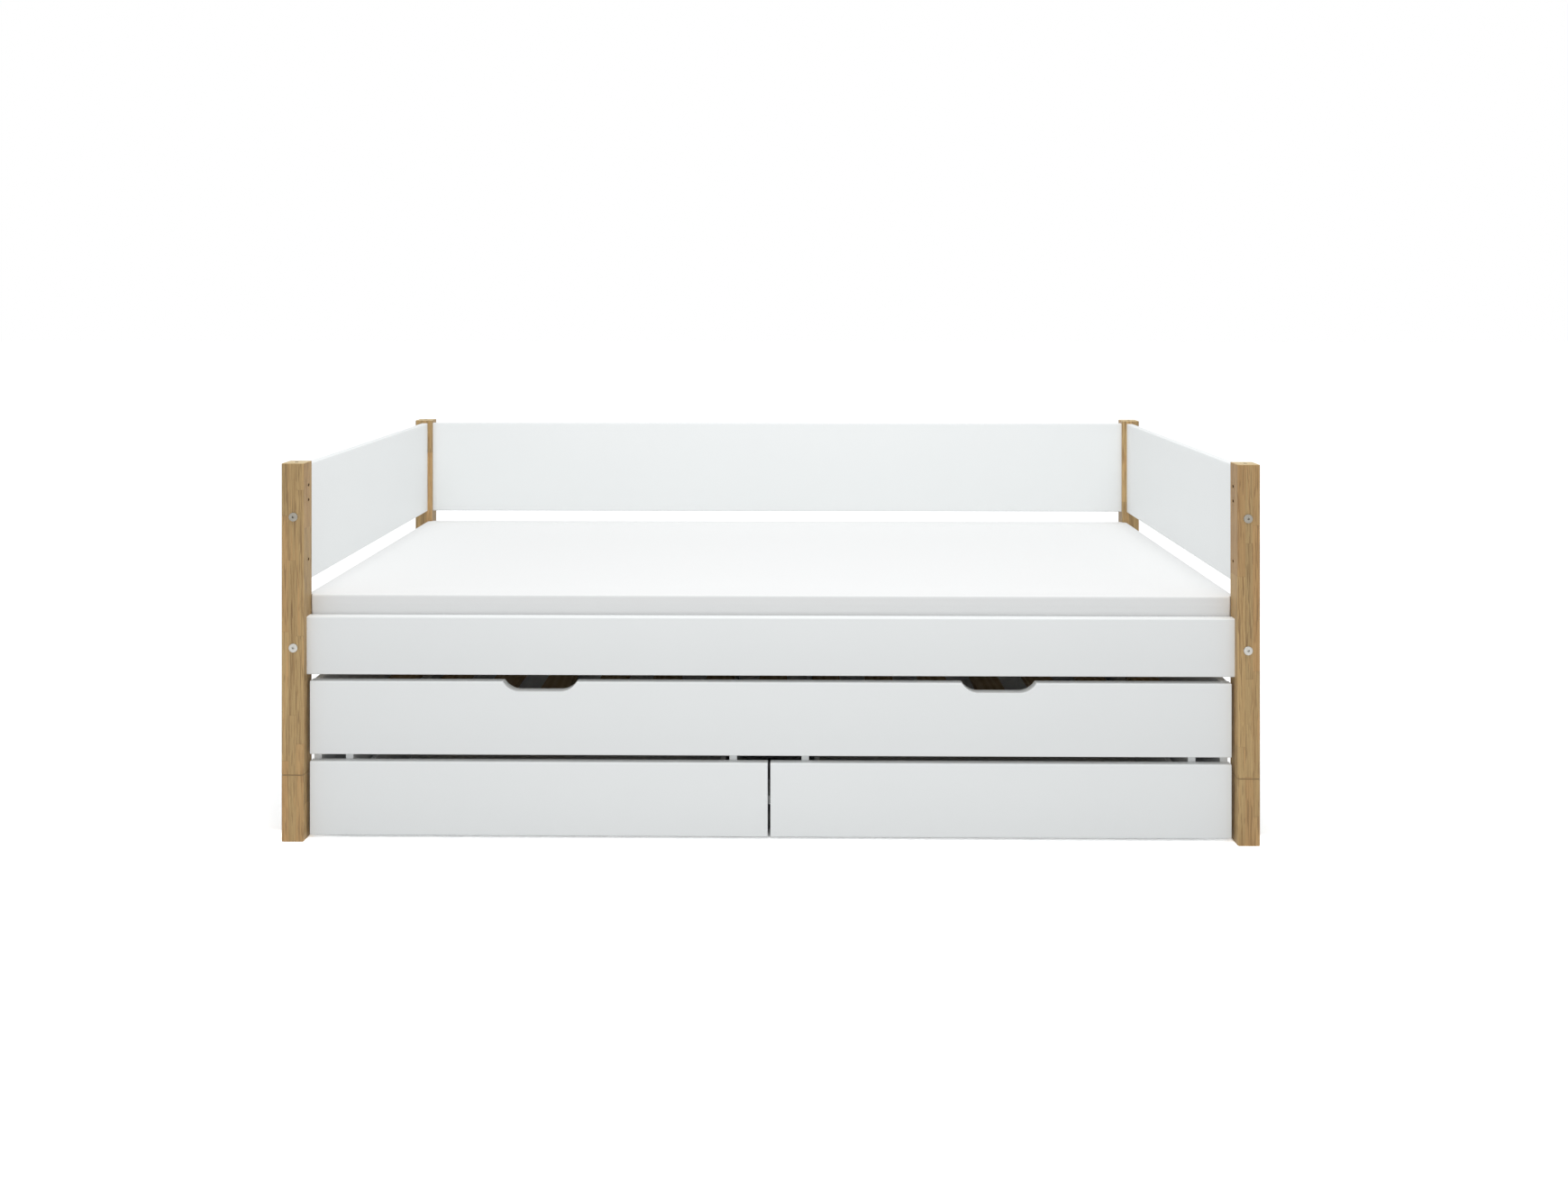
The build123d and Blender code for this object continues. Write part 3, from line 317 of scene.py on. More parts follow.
def jointed_oak(name, corner, half_side, leg_top, seed):
    """Oiled finger-jointed oak, its staves counted from a corner, the leg's joint at its height."""
    material, tree = start_material(name)
    place = own_place(tree)
    local = vector_calc(tree, "SUBTRACT", place, corner)
    axis = axes(tree, local)
    across = calc(tree, "DIVIDE", axis[0], stave_width)
    start = calc(tree, "MULTIPLY", calc(tree, "FLOOR", across), stave_offset)
    along = calc(tree, "ADD", calc(tree, "DIVIDE", axis[2], stave_block_length), start)
    along = calc(tree, "ADD", along, seed * post_offset)
    block, joint = [add_node(tree, "ShaderNodeTexVoronoi",
                             {"W": along, "Scale": 1.0, "Randomness": block_chance},
                             voronoi_dimensions="1D", feature=feature).outputs
                    for feature in ("F1", "DISTANCE_TO_EDGE")]
    pick = add_node(tree, "ShaderNodeSeparateColor", {0: block["Color"]}).outputs

    # Each block is another piece of the log, some warmer and some darker than the next
    grown = grain_place(tree, local, block["Color"], oak_log_size, oak_stretch)
    broad = noise(tree, grown, scale=95.0, detail=2.0, distortion=0.6)
    rings = add_node(tree, "ShaderNodeTexWave",
                     {"Vector": grown, "Scale": 95.0, "Distortion": 6.0, "Detail": 2.0,
                      "Detail Scale": 1.6, "Detail Roughness": 0.6},
                     wave_type="BANDS", bands_direction="DIAGONAL", wave_profile="SAW").outputs[0]
    streaks = noise(tree, grown, scale=520.0, detail=3.0, roughness=0.6)
    tone = weighted(tree, (broad, 0.6), (rings, 0.16), (streaks, 0.36))
    colour = add_node(tree, "ShaderNodeValToRGB", {0: spread(tree, tone, *oak_tone)})
    ramp = colour.color_ramp
    ramp.elements[0].color = oak_dark
    ramp.elements[1].color = oak_light
    ramp.elements.new(middle_tone).color = oak_middle
    warm = calc(tree, "MAXIMUM", part_of(tree, pick[0], *warm_blocks),
                part_of(tree, broad, *warm_heart))
    finish = blend_colours(tree, warm, colour.outputs[0], oak_warm)
    finish = vary_shade(tree, finish, pick[1], *block_shade)

    # Late wood in thin dark lines, glue lines and joints, open pores, and painted shade: a dark line
    # in the groove at the leg's joint, and dark walls in the bores
    growth = noise(tree, grown, scale=330.0, detail=1.0, distortion=0.4)
    late = part_of(tree, growth, *late_wood)
    from_side = calc(tree, "PINGPONG", across, 0.5)
    side_line = part_of(tree, from_side, glue_line / stave_width, 0.0, glue_shade)
    end_line = part_of(tree, joint["Distance"], end_joint / stave_block_length, 0.0, end_joint_shade)
    line = calc(tree, "MAXIMUM", side_line, end_line)
    pore = part_of(tree, noise(tree, grown, scale=1700.0, detail=1.0), *open_pores)
    # Painted shade: a dark line at the leg's joint, for the shade in its groove
    from_joint = calc(tree, "ABSOLUTE", calc(tree, "SUBTRACT", axes(tree, place)[2], leg_top))
    groove_shade = part_of(tree, from_joint, leg_joint, leg_joint / 2, painted_groove_shade)
    for mark in (late, line, pore, groove_shade):
        finish = blend_colours(tree, mark, finish, dark_lines_and_groove_shade)
    # Painted shade: points more than a millimetre inside the post's faces, the bores' walls, are
    # darkened
    inside = calc(tree, "MINIMUM", calc(tree, "PINGPONG", axis[0], half_side),
                  calc(tree, "PINGPONG", axis[1], half_side))
    finish = blend_colours(tree, spread(tree, inside, *bore_shade_depth), finish, bore_painted_shade)

    # Sawn ends, sanded and paler than the sides
    facing = axes(tree, add_node(tree, "ShaderNodeNewGeometry").outputs["True Normal"])[2]
    sawn = spread(tree, calc(tree, "ABSOLUTE", facing), *sawn_end)
    end_tone = calc(tree, "MULTIPLY", noise(tree, place, scale=900.0, detail=3.0), end_streaks)
    finish = blend_colours(tree, sawn, finish, blend_colours(tree, end_tone, oak_end, oak_middle))

    height = weighted(tree, (streaks, 1.0), (pore, -2.0), (line, -0.8))
    coat(tree, finish, between(tree, streaks, *oak_gloss),
         relief(tree, height, strength=0.35, depth=wood_relief), {"Specular IOR Level": 0.35})
    return material


for corner_name, seed in post_seeds.items():
    low_corner, high_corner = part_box(f"{corner_name}_leg")
    half_side = (high_corner[0] - low_corner[0]) / 2
    oak = jointed_oak(f"oiled_oak_{corner_name}", tuple(low_corner), half_side, high_corner[2], seed)
    dress(oak, f"{corner_name}_post", f"{corner_name}_leg")


# Rails, guards and all other white boards. Solid boards with rounded edges, primed and sprayed
# with a satin white lacquer that leaves a faint peel on the flat. The drawers' boxes are foiled,
# and duller.
lacquer_white = (0.865, 0.882, 0.882, 1.0)
lacquer_shade = (0.85, 0.868, 0.868, 1.0)
lacquer_gloss = 0.42
foil_gloss = 0.52
gloss_play = 0.1
peel_depth = 0.00008
board_crown = 0.10
board_groups = {
    "lacquer_rails": ("front_rail", "back_rail", "left_side_rail", "right_side_rail"),
    "lacquer_side_guards": ("left_guard", "right_guard"),
    "lacquer_back_guard": ("back_guard",),
    "lacquer_pull_out_front": ("pull_out_front",),
    "lacquer_drawer_fronts": ("left_drawer_front", "right_drawer_front"),
    "lacquer_pull_out_frame": ("pull_out_back", "pull_out_left_side", "pull_out_right_side"),
    "lacquer_partitions": ("left_inner_partition", "left_outer_partition", "right_inner_partition",
                           "right_outer_partition", "deck_boards", "castor_blocks"),
}


def satin_white(name, boards, box, gloss):
    """Satin white on boards, sanded a little round over the height of a box."""
    material, tree = start_material(name)
    low, high = [corner[2] for corner in box]
    place = own_place(tree)
    cloud = noise(tree, place, scale=6.0, detail=2.0)
    level = calc(tree, "SUBTRACT", axes(tree, place)[2], (low + high) / 2)
    rounded = calc(tree, "MULTIPLY", calc(tree, "MULTIPLY", level, level), board_crown / (low - high))
    crown = relief(tree, rounded, strength=1.0, depth=1.0)
    peel = noise(tree, place, scale=520.0, detail=2.0)
    peel = relief(tree, peel, strength=0.2, depth=peel_depth, over=crown)
    coat(tree, blend_colours(tree, cloud, lacquer_shade, lacquer_white),
         between(tree, cloud, gloss, gloss + gloss_play), peel, {"Specular IOR Level": 0.25})
    dress(material, *boards)


for group, boards in board_groups.items():
    satin_white(group, boards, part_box(boards[0]), lacquer_gloss)
for side in ("left", "right"):
    boards = (f"{side}_drawer_sides", f"{side}_drawer_back", f"{side}_drawer_bottom")
    satin_white(f"foil_{side}_drawer", boards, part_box(f"{side}_drawer_sides"), foil_gloss)


# Bolts, barrel nuts, screws, studs and castor housings. Turned or pressed steel, zinc plated, a
# little uneven where the bath left it, and with painted shade that darkens the upper bolts.
zinc_bright = (0.54, 0.53, 0.495, 1.0)
zinc_dull = (0.38, 0.37, 0.345, 1.0)
zinc_upper_shade = (0.66, 0.63, 0.58, 1.0)
zinc_gloss = (0.28, 0.46)
upper_shade_heights = (0.55, 0.65)
spangle_depth = 0.00004
zinc, tree = start_material("zinc_steel")
place = own_place(tree)
cloud = noise(tree, place, scale=160.0, detail=3.0)
spangle = add_node(tree, "ShaderNodeTexVoronoi", {"Vector": place, "Scale": 900.0})
# Painted shade: everything higher than 0.55 m is darkened and browned, fully above 0.65 m
painted_upper_shade = spread(tree, axes(tree, place)[2], *upper_shade_heights)
plating = blend_colours(tree, cloud, zinc_dull, zinc_bright)
coat(tree, blend_colours(tree, painted_upper_shade, plating, zinc_upper_shade, "MULTIPLY"),
     between(tree, cloud, *zinc_gloss),
     relief(tree, spangle.outputs["Distance"], strength=0.15, depth=spangle_depth),
     {"Metallic": 0.85})
dress(zinc, "frame_bolts", "barrel_nuts", "leg_studs", "castor_housings", "castor_axles")


# Slats, ledgers and dowels. Slats and ledgers are planed pine, left bare, each with the grain along
# its length; the dowels are fluted beech.
pine = {"light": (0.71, 0.56, 0.36, 1.0), "dark": (0.52, 0.35, 0.18, 1.0)}
beech = {"light": (0.68, 0.5, 0.34, 1.0), "dark": (0.5, 0.33, 0.2, 1.0)}
slat_pitch = 0.1346
tray_slat_pitch = 0.133
whole_bed = 10.0
slat_stretch = (1.0, 0.06, 1.0)
ledger_stretch = (0.06, 1.0, 1.0)
dowel_stretch = (0.3, 0.3, 0.3)
planed_log_size = (4.0, 7.0, 3.0)
slat_shade = (0.16, 0.88)
planed_gloss = 0.68


def planed_wood(name, wood, stretch, pitch):
    """Bare planed wood. stretch is the scale of the grain on each axis, pitch the pieces' spacing."""
    material, tree = start_material(name)
    place = own_place(tree)
    count = calc(tree, "ADD", calc(tree, "DIVIDE", axes(tree, place)[0], pitch), 0.5)
    pick = add_node(tree, "ShaderNodeTexWhiteNoise", {"W": calc(tree, "FLOOR", count)},
                    noise_dimensions="1D").outputs
    grown = grain_place(tree, place, pick["Color"], planed_log_size, stretch)
    rings = add_node(tree, "ShaderNodeTexWave",
                     {"Vector": grown, "Scale": 30.0, "Distortion": 9.0, "Detail": 2.0,
                      "Detail Scale": 0.8}, wave_type="BANDS", bands_direction="DIAGONAL").outputs[0]
    streaks = noise(tree, grown, scale=500.0, detail=3.0)
    tone = weighted(tree, (rings, 0.45), (streaks, 0.55))
    finish = blend_colours(tree, tone, wood["light"], wood["dark"])
    finish = vary_shade(tree, finish, pick["Value"], *slat_shade)
    coat(tree, finish, planed_gloss, relief(tree, streaks, strength=0.3, depth=wood_relief),
         {"Specular IOR Level": 0.3})
    return material


dress(planed_wood("pine_bed_slats", pine, slat_stretch, slat_pitch), "bed_slats")
dress(planed_wood("pine_tray_slats", pine, slat_stretch, tray_slat_pitch), "pull_out_slats")
dress(planed_wood("pine_ledgers", pine, ledger_stretch, whole_bed), "slat_ledgers", "pull_out_ledgers")
dress(planed_wood("beech", beech, dowel_stretch, whole_bed), "frame_dowels", "pull_out_dowels",
      "left_drawer_dowels", "right_drawer_dowels")


# Ledger screws. Zinc-plated wood screws with countersunk cross-recess heads, driven through each
# ledger into its rail, each stopped at another angle.
ledger_screw_xs = (-0.9108, -0.4554, 0.0, 0.4554, 0.9108)
ledger_face = 0.431
ledger_screw_height = 0.368
ledger_screw = {"Head Radius": 0.0042, "Head Height": 0.0022, "Shank Radius": 0.002,
                "Length": 0.0358, "Recess": 0.0046}
screw_turn_seed = 11
head_sides = 28
shank_sides = 12
shank_tip = 0.0002
shank_set_in = 0.98
recess_slot = 0.22
recess_depth = 1.3


def open_tree(name, sizes):
    """A geometry tree with a named input for each size and one for the material."""
    tree = bpy.data.node_groups.new(name, "GeometryNodeTree")
    tree.interface.new_socket("Points", in_out="INPUT", socket_type="NodeSocketGeometry")
    for size in sizes:
        tree.interface.new_socket(size, in_out="INPUT", socket_type="NodeSocketFloat")
    tree.interface.new_socket("Material", in_out="INPUT", socket_type="NodeSocketMaterial")
    tree.interface.new_socket("Geometry", in_out="OUTPUT", socket_type="NodeSocketGeometry")
    return tree, add_node(tree, "NodeGroupInput").outputs


def close_tree(tree, instances, material):
    """Makes the instances real, gives them their material and ends the tree."""
    real = add_node(tree, "GeometryNodeRealizeInstances", {0: instances})
    coated = add_node(tree, "GeometryNodeSetMaterial",
                      {"Geometry": real.outputs[0], "Material": material})
    add_node(tree, "NodeGroupOutput", {0: coated.outputs[0]})


def moved_by(tree, piece, shift):
    """A piece moved by a vector."""
    return add_node(tree, "GeometryNodeTransform", {0: piece, "Translation": shift}).outputs[0]


def joined(tree, *pieces):
    """Several pieces as one."""
    join = add_node(tree, "GeometryNodeJoinGeometry")
    for piece in pieces:
        tree.links.new(piece, join.inputs[0])
    return join.outputs[0]


def set_on_points(tree, sizes, piece, spin=None):
    """Sets a piece on each point, spun on its axis and facing the way the point says."""
    facing = add_node(tree, "GeometryNodeInputNamedAttribute", {"Name": "facing"},
                      data_type="FLOAT_VECTOR")
    turn = add_node(tree, "FunctionNodeAlignRotationToVector", {"Vector": facing.outputs[0]}, axis="Z")
    if spin is not None:
        turn = add_node(tree, "FunctionNodeRotateRotation", {0: turn.outputs[0], 1: spin},
                        rotation_space="LOCAL")
    pieces = add_node(tree, "GeometryNodeInstanceOnPoints",
                      {"Points": sizes["Points"], "Instance": piece, "Rotation": turn.outputs[0]})
    close_tree(tree, pieces.outputs[0], sizes["Material"])


def cone(tree, sides, top, base, height):
    """A cone that stands on the origin."""
    return add_node(tree, "GeometryNodeMeshCone",
                    {"Vertices": sides, "Radius Top": top, "Radius Bottom": base,
                     "Depth": height}).outputs[0]


def screw_tree(name, countersunk):
    """A tree that sets a screw on each point, its head flush with the point or on it."""
    tree, sizes = open_tree(name, ("Head Radius", "Head Height", "Shank Radius", "Length", "Recess"))
    radius, height, length = sizes["Head Radius"], sizes["Head Height"], sizes["Length"]
    if countersunk:
        head = cone(tree, head_sides, radius, sizes["Shank Radius"], height)
        base, top = calc(tree, "MULTIPLY", height, -1.0), 0.0
        down = calc(tree, "MULTIPLY", calc(tree, "ADD", length, height), -shank_set_in)
    else:
        rim = calc(tree, "SUBTRACT", radius, calc(tree, "MULTIPLY", height, 0.5))
        head = cone(tree, head_sides, rim, radius, height)
        base, top = 0.0, height
        down = calc(tree, "MULTIPLY", length, -1.0)
    cross = add_node(tree, "GeometryNodeMeshBoolean", operation="UNION", solver="MANIFOLD")
    for size in ((1.0, recess_slot), (recess_slot, 1.0)):
        spans = [calc(tree, "MULTIPLY", sizes["Recess"], share) for share in size]
        spans.append(calc(tree, "MULTIPLY", height, recess_depth))
        slot = add_node(tree, "GeometryNodeMeshCube", {"Size": xyz(tree, *spans)}).outputs[0]
        tree.links.new(moved_by(tree, slot, xyz(tree, z=top)), cross.inputs["Mesh 2"])
    head = add_node(tree, "GeometryNodeMeshBoolean",
                    {"Mesh 1": moved_by(tree, head, xyz(tree, z=base)), "Mesh 2": cross.outputs[0]},
                    operation="DIFFERENCE", solver="MANIFOLD")
    shank = cone(tree, shank_sides, sizes["Shank Radius"], shank_tip, length)
    screw = joined(tree, head.outputs[0], moved_by(tree, shank, xyz(tree, z=down)))
    turn = add_node(tree, "FunctionNodeRandomValue", {"Max": 2 * np.pi, "Seed": screw_turn_seed},
                    data_type="FLOAT")
    spin = add_node(tree, "FunctionNodeAxisAngleToRotation",
                    {"Axis": (0.0, 0.0, 1.0), "Angle": turn.outputs[1]})
    set_on_points(tree, sizes, screw, spin.outputs[0])
    return tree


def grow(piece, tree, sizes, material):
    """Runs a tree on an object and keeps what it makes as the object's own plain mesh."""
    modifier = piece.modifiers.new("tree", "NODES")
    modifier.node_group = tree
    for socket in tree.interface.items_tree:
        if socket.name in sizes:
            modifier[socket.identifier] = sizes[socket.name]
        if socket.name == "Material":
            modifier[socket.identifier] = material
    made = piece.evaluated_get(bpy.context.evaluated_depsgraph_get())
    mesh = bpy.data.meshes.new_from_object(made)
    piece.modifiers.remove(modifier)
    piece.data = mesh


def set_pieces(name, places, facings, tree, sizes):
    """Sets a tree's steel piece on each place, facing the way given for it."""
    piece = add_mesh(name, places)
    facing = piece.data.attributes.new("facing", "FLOAT_VECTOR", "POINT")
    facing.data.foreach_set("vector", np.array(facings, dtype=float).ravel())
    grow(piece, tree, sizes, zinc)
    return piece


countersunk_screw = screw_tree("countersunk_screw", countersunk=True)
places = [(x, y * ledger_face, ledger_screw_height) for y in (-1, 1) for x in ledger_screw_xs]
facings = [(0, -np.sign(y), 0) for _, y, _ in places]
ledger_screws = set_pieces("cross_recess_ledger_screws", places, facings, countersunk_screw,
                           ledger_screw)
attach(ledger_screws, "bed_frame")
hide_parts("ledger_screws")


# Slat tapes. Two woven tapes under the slats that keep their spacing, each stapled to every slat
# with two wire staples.
tape_colour = (0.72, 0.69, 0.62, 1.0)
tape_shade = (0.55, 0.52, 0.46, 1.0)
tape_thread = 0.0011
tape_line = 0.2514
tape_under = 0.381
slat_count = 15
staple_apart = 0.026
staple = {"Crown": 0.0105, "Leg": 0.006, "Wire": 0.0009}
thread_shade = (0.15, 0.75)
nap_play = 0.06


def woven(name, colour, dark, thread, rough, depth, across):
    """Plain woven or knitted cloth, its threads along two of the axes."""
    material, tree = start_material(name)
    place = own_place(tree)
    axis = axes(tree, place)
    waves = [calc(tree, "SINE", calc(tree, "MULTIPLY", axis[way], 2 * np.pi / thread))
             for way in across]
    weave = calc(tree, "ADD", calc(tree, "MULTIPLY", calc(tree, "MULTIPLY", *waves), 0.5), 0.5)
    fuzz = noise(tree, place, scale=2200.0, detail=2.0)
    height = weighted(tree, (weave, 0.7), (fuzz, 0.3))
    coat(tree, blend_colours(tree, spread(tree, height, *thread_shade), dark, colour),
         between(tree, fuzz, rough - nap_play, rough + nap_play),
         relief(tree, height, strength=0.4, depth=depth),
         {"Specular IOR Level": 0.2, "Sheen Weight": 0.15, "Sheen Roughness": 0.5})
    return material


def staple_tree():
    """A tree that sets a wire staple on each point, its legs pointing away from where it faces."""
    tree, sizes = open_tree("staple", ("Crown", "Leg", "Wire"))
    crown, leg, wire = sizes["Crown"], sizes["Leg"], sizes["Wire"]
    half_wire = calc(tree, "MULTIPLY", wire, 0.5)
    out = calc(tree, "SUBTRACT", calc(tree, "MULTIPLY", crown, 0.5), half_wire)
    low = calc(tree, "MULTIPLY", calc(tree, "SUBTRACT", leg, wire), -0.5)
    bars = []
    for size, place in (((crown, wire, wire), (0.0, 0.0, half_wire)),
                        ((wire, wire, leg), (out, 0.0, low)),
                        ((wire, wire, leg), (calc(tree, "MULTIPLY", out, -1.0), 0.0, low))):
        bar = add_node(tree, "GeometryNodeMeshCube", {"Size": xyz(tree, *size)}).outputs[0]
        bars.append(moved_by(tree, bar, xyz(tree, *place)))
    set_on_points(tree, sizes, joined(tree, *bars))
    return tree


tape = woven("tape_webbing", tape_colour, tape_shade, thread=tape_thread, rough=0.85, depth=0.0002,
             across=(0, 1))
dress(tape, "slat_tapes")
places = [((slat - slat_count // 2) * slat_pitch + along, side * tape_line, tape_under)
          for side in (-1, 1) for slat in range(slat_count)
          for along in (-staple_apart / 2, staple_apart / 2)]
staples = set_pieces("tape_staples", places, [(0, 0, -1)] * len(places), staple_tree(), staple)
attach(staples, "bed_frame")


# Mattress. A foam core in a plain white knitted cover with a border of closer knit, square at its
# edges and a little crowned. The border's colour carries painted shade, a little darker than the top.
# It fills the frame: above the boards it swells out a little, and the posts press its corners in. A
# closing seam is sewn round it low on the sides.
corner_round = 0.0018
edge_round = 0.0045
side_draw = 0.0015
top_crown = 0.0025
edge_zone = 0.020
edge_step = 0.0028
wide_step = 0.020
swell_room = 0.0012
swell_limit = 0.0008
swell_pressure = 4.0
swell_steps = 15
cloth_quality = 4
end_bulge = 0.0025
side_bulge = 0.0035
bulge_rise = 0.014
post_room = 0.0004
post_squeeze = 0.007
tiny = 1e-9
mattress_white = (0.875, 0.878, 0.876, 1.0)
mattress_shade = (0.835, 0.84, 0.84, 1.0)
# Painted shade: the border's colours are a little darker than the top's, for the light on the sides
shaded_border_white = (0.835, 0.84, 0.838, 1.0)
shaded_border_dark = (0.795, 0.802, 0.802, 1.0)
seam_height = 0.030
seam_points = 900
seam_sizes = {"Roll Radius": 0.0013, "Stitch Length": 0.0032, "Stitch Pitch": 0.0045,
              "Stitch Radius": 0.0005, "Stitch Drop": 0.0035}
ray_start = 0.05
mattress_low, mattress_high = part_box("mattress")


def steps_across(reach):
    """Places from one side of a block to the other, close together at its edges."""
    near = np.arange(0, edge_zone, edge_step)
    count = max(3, int((2 * reach - 2 * edge_zone) / wide_step))
    middle = np.linspace(edge_zone - reach, reach - edge_zone, count)
    return np.concatenate([near - reach, middle, (reach - near)[::-1]])


def block_faces(grid):
    """A block's surface on a grid: points, each used once, quads, and 1 for the quads of its sides."""
    points, index, quads, sides = [], {}, [], []
    last = [len(steps) - 1 for steps in grid]
    for fixed in range(3):
        u, v = [axis for axis in range(3) if axis != fixed]
        for end in (0, last[fixed]):
            outward = (end > 0) != (fixed == 1)
            for i, j in np.ndindex(last[u], last[v]):
                quad = []
                for step_u, step_v in ((i, j), (i + 1, j), (i + 1, j + 1), (i, j + 1)):
                    key = [end] * 3
                    key[u], key[v] = step_u, step_v
                    if tuple(key) not in index:
                        index[tuple(key)] = len(points)
                        points.append([steps[step] for steps, step in zip(grid, key)])
                    quad.append(index[tuple(key)])
                quads.append(quad if outward else quad[::-1])
                sides.append(int(fixed < 2))
    return np.array(points), quads, sides


def soften(points, half):
    """Rounds a block's upright corners, then its top and base edges, and shapes its faces."""
    flat = np.clip(points[:, :2], corner_round - half[:2], half[:2] - corner_round)
    out = points[:, :2] - flat
    way = out / np.maximum(np.hypot(*out.T), tiny)[:, None]
    over = np.maximum(np.abs(out).max(1) - (corner_round - edge_round), 0)
    level = np.clip(points[:, 2], edge_round - half[2], half[2] - edge_round)
    rise = points[:, 2] - level
    ease = np.maximum(over, np.abs(rise)) / np.maximum(np.hypot(over, rise), tiny)
    reach = corner_round - edge_round + over * ease
    shaped = np.column_stack([flat + way * reach[:, None], level + rise * ease])
    share = shaped / half
    for axis in (0, 1):
        draw = side_draw * (1 - share[:, 1 - axis] ** 2) * (1 - share[:, 2] ** 2)
        shaped[:, axis] -= draw * share[:, axis] ** 3
    upper = np.clip(share[:, 2], 0, 1) ** 2
    shaped[:, 2] += top_crown * upper * (1 - share[:, 0] ** 4) * (1 - share[:, 1] ** 2)
    return shaped


def points_of(piece):
    """An object's points."""
    return np.array([v.co for v in piece.data.vertices])


def move_points(piece, points):
    """Moves an object's points."""
    piece.data.vertices.foreach_set("co", points.ravel())
    piece.data.update()


def swell(piece, held_below):
    """Lets a cover fill out under pressure, held at its base, each point within a limit each way."""
    rest = points_of(piece)
    held = piece.vertex_groups.new(name="held")
    held.add([i for i, p in enumerate(rest) if p[2] < held_below], 1.0, "REPLACE")
    cloth = piece.modifiers.new("cloth", "CLOTH")
    cloth.settings.use_pressure = True
    cloth.settings.uniform_pressure_force = swell_pressure
    cloth.settings.effector_weights.gravity = 0
    cloth.settings.vertex_group_mass = held.name
    cloth.settings.quality = cloth_quality
    for step in range(swell_steps):
        bpy.context.scene.frame_set(step + 1)
    settled = points_of(piece.evaluated_get(bpy.context.evaluated_depsgraph_get()))
    piece.modifiers.remove(cloth)
    bpy.context.scene.frame_set(1)
    move_points(piece, rest + swell_limit * np.tanh((settled - rest) / swell_limit))
    piece.vertex_groups.clear()


def eased(value):
    """A share from 0 to 1, slow at both ends."""
    share = np.clip(value, 0, 1)
    return share * share * (3 - 2 * share)


def fit_frame(piece):
    """Lets a cover out above the boards, and presses its corners in behind the posts."""
    points = points_of(piece)
    long, wide = np.abs(points[:, :2]).max(0)
    over = eased((points[:, 2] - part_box("left_side_rail")[1][2]) / bulge_rise)
    points[:, 1] *= 1 + side_bulge * over / wide
    post_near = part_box("back_right_post")[0]
    behind = eased((post_near[1] - np.abs(points[:, 1])) / post_squeeze)
    post_side = post_near[0] - post_room
    points[:, 0] *= (post_side + (long + end_bulge * over - post_side) * behind) / long
    move_points(piece, points)


centre = np.array((mattress_low + mattress_high) / 2)
half = np.array((mattress_high - mattress_low) / 2)
half[:2] -= swell_room
half[2] -= (top_crown + swell_room) / 2
centre[2] -= (top_crown + swell_room) / 2
points, quads, sides = block_faces([steps_across(reach) for reach in half])
cover = add_mesh("mattress_cover", (soften(points, half) + centre).tolist(), faces=quads)
cover.data.polygons.foreach_set("use_smooth", [True] * len(quads))
cover.data.polygons.foreach_set("material_index", sides)
swell(cover, mattress_low[2] + edge_round)
fit_frame(cover)


def wrap(cover, height, half):
    """Points round a cover at one height, found from a line round the block that it began as."""
    surface = BVHTree.FromPolygons([v.co for v in cover.data.vertices],
                                   [p.vertices for p in cover.data.polygons])
    long, wide = 2 * (half[:2] - corner_round)
    arc = np.pi / 2 * corner_round
    runs = [(wide, False), (arc, True), (long, False), (arc, True)] * 2
    total = sum(length for length, _ in runs)
    places = []
    for step in range(seam_points):
        left = step / seam_points * total
        heading, here = np.pi / 2, np.array([half[0], corner_round - half[1]])
        for length, bends in runs:
            part = min(left, length)
            if bends:
                inward = np.array([-np.sin(heading), np.cos(heading)])
                heading += part / corner_round
                bent = np.array([-np.sin(heading), np.cos(heading)])
                here = here + inward * corner_round - corner_round * bent
            else:
                here = here + part * np.array([np.cos(heading), np.sin(heading)])
            left -= part
            if left <= 0:
                break
        out = Vector((np.sin(heading), -np.cos(heading), 0.0))
        start = Vector((here[0], here[1], height)) + out * ray_start
        places.append(tuple(surface.ray_cast(start, -out)[0]))
    return places


def seam_tree():
    """A tree that runs a rolled edge along a line, with a row of stitches below it."""
    tree, sizes = open_tree("seam", seam_sizes)
    line = add_node(tree, "GeometryNodeMeshToCurve", {0: sizes["Points"]}).outputs[0]
    ring = add_node(tree, "GeometryNodeCurvePrimitiveCircle",
                    {"Resolution": 10, "Radius": sizes["Roll Radius"]})
    roll = add_node(tree, "GeometryNodeCurveToMesh", {0: line, 1: ring.outputs[0]})
    roll = add_node(tree, "GeometryNodeSetShadeSmooth", {0: roll.outputs[0]})
    spaced = add_node(tree, "GeometryNodeCurveToPoints",
                      {"Curve": line, "Length": sizes["Stitch Pitch"]}, mode="LENGTH").outputs
    stitch = add_node(tree, "GeometryNodeMeshUVSphere", {"Segments": 8, "Rings": 6, "Radius": 1.0})
    shape = xyz(tree, calc(tree, "MULTIPLY", sizes["Stitch Length"], 0.5), sizes["Stitch Radius"],
                sizes["Stitch Radius"])
    lie = add_node(tree, "FunctionNodeAlignRotationToVector", {"Vector": spaced["Tangent"]}, axis="X")
    stitches = add_node(tree, "GeometryNodeInstanceOnPoints",
                        {"Points": spaced["Points"], "Instance": stitch.outputs[0],
                         "Rotation": lie.outputs[0], "Scale": shape})
    drop = xyz(tree, z=calc(tree, "MULTIPLY", sizes["Stitch Drop"], -1.0))
    stitches = moved_by(tree, stitches.outputs[0], drop)
    close_tree(tree, joined(tree, roll.outputs[0], stitches), sizes["Material"])
    return tree


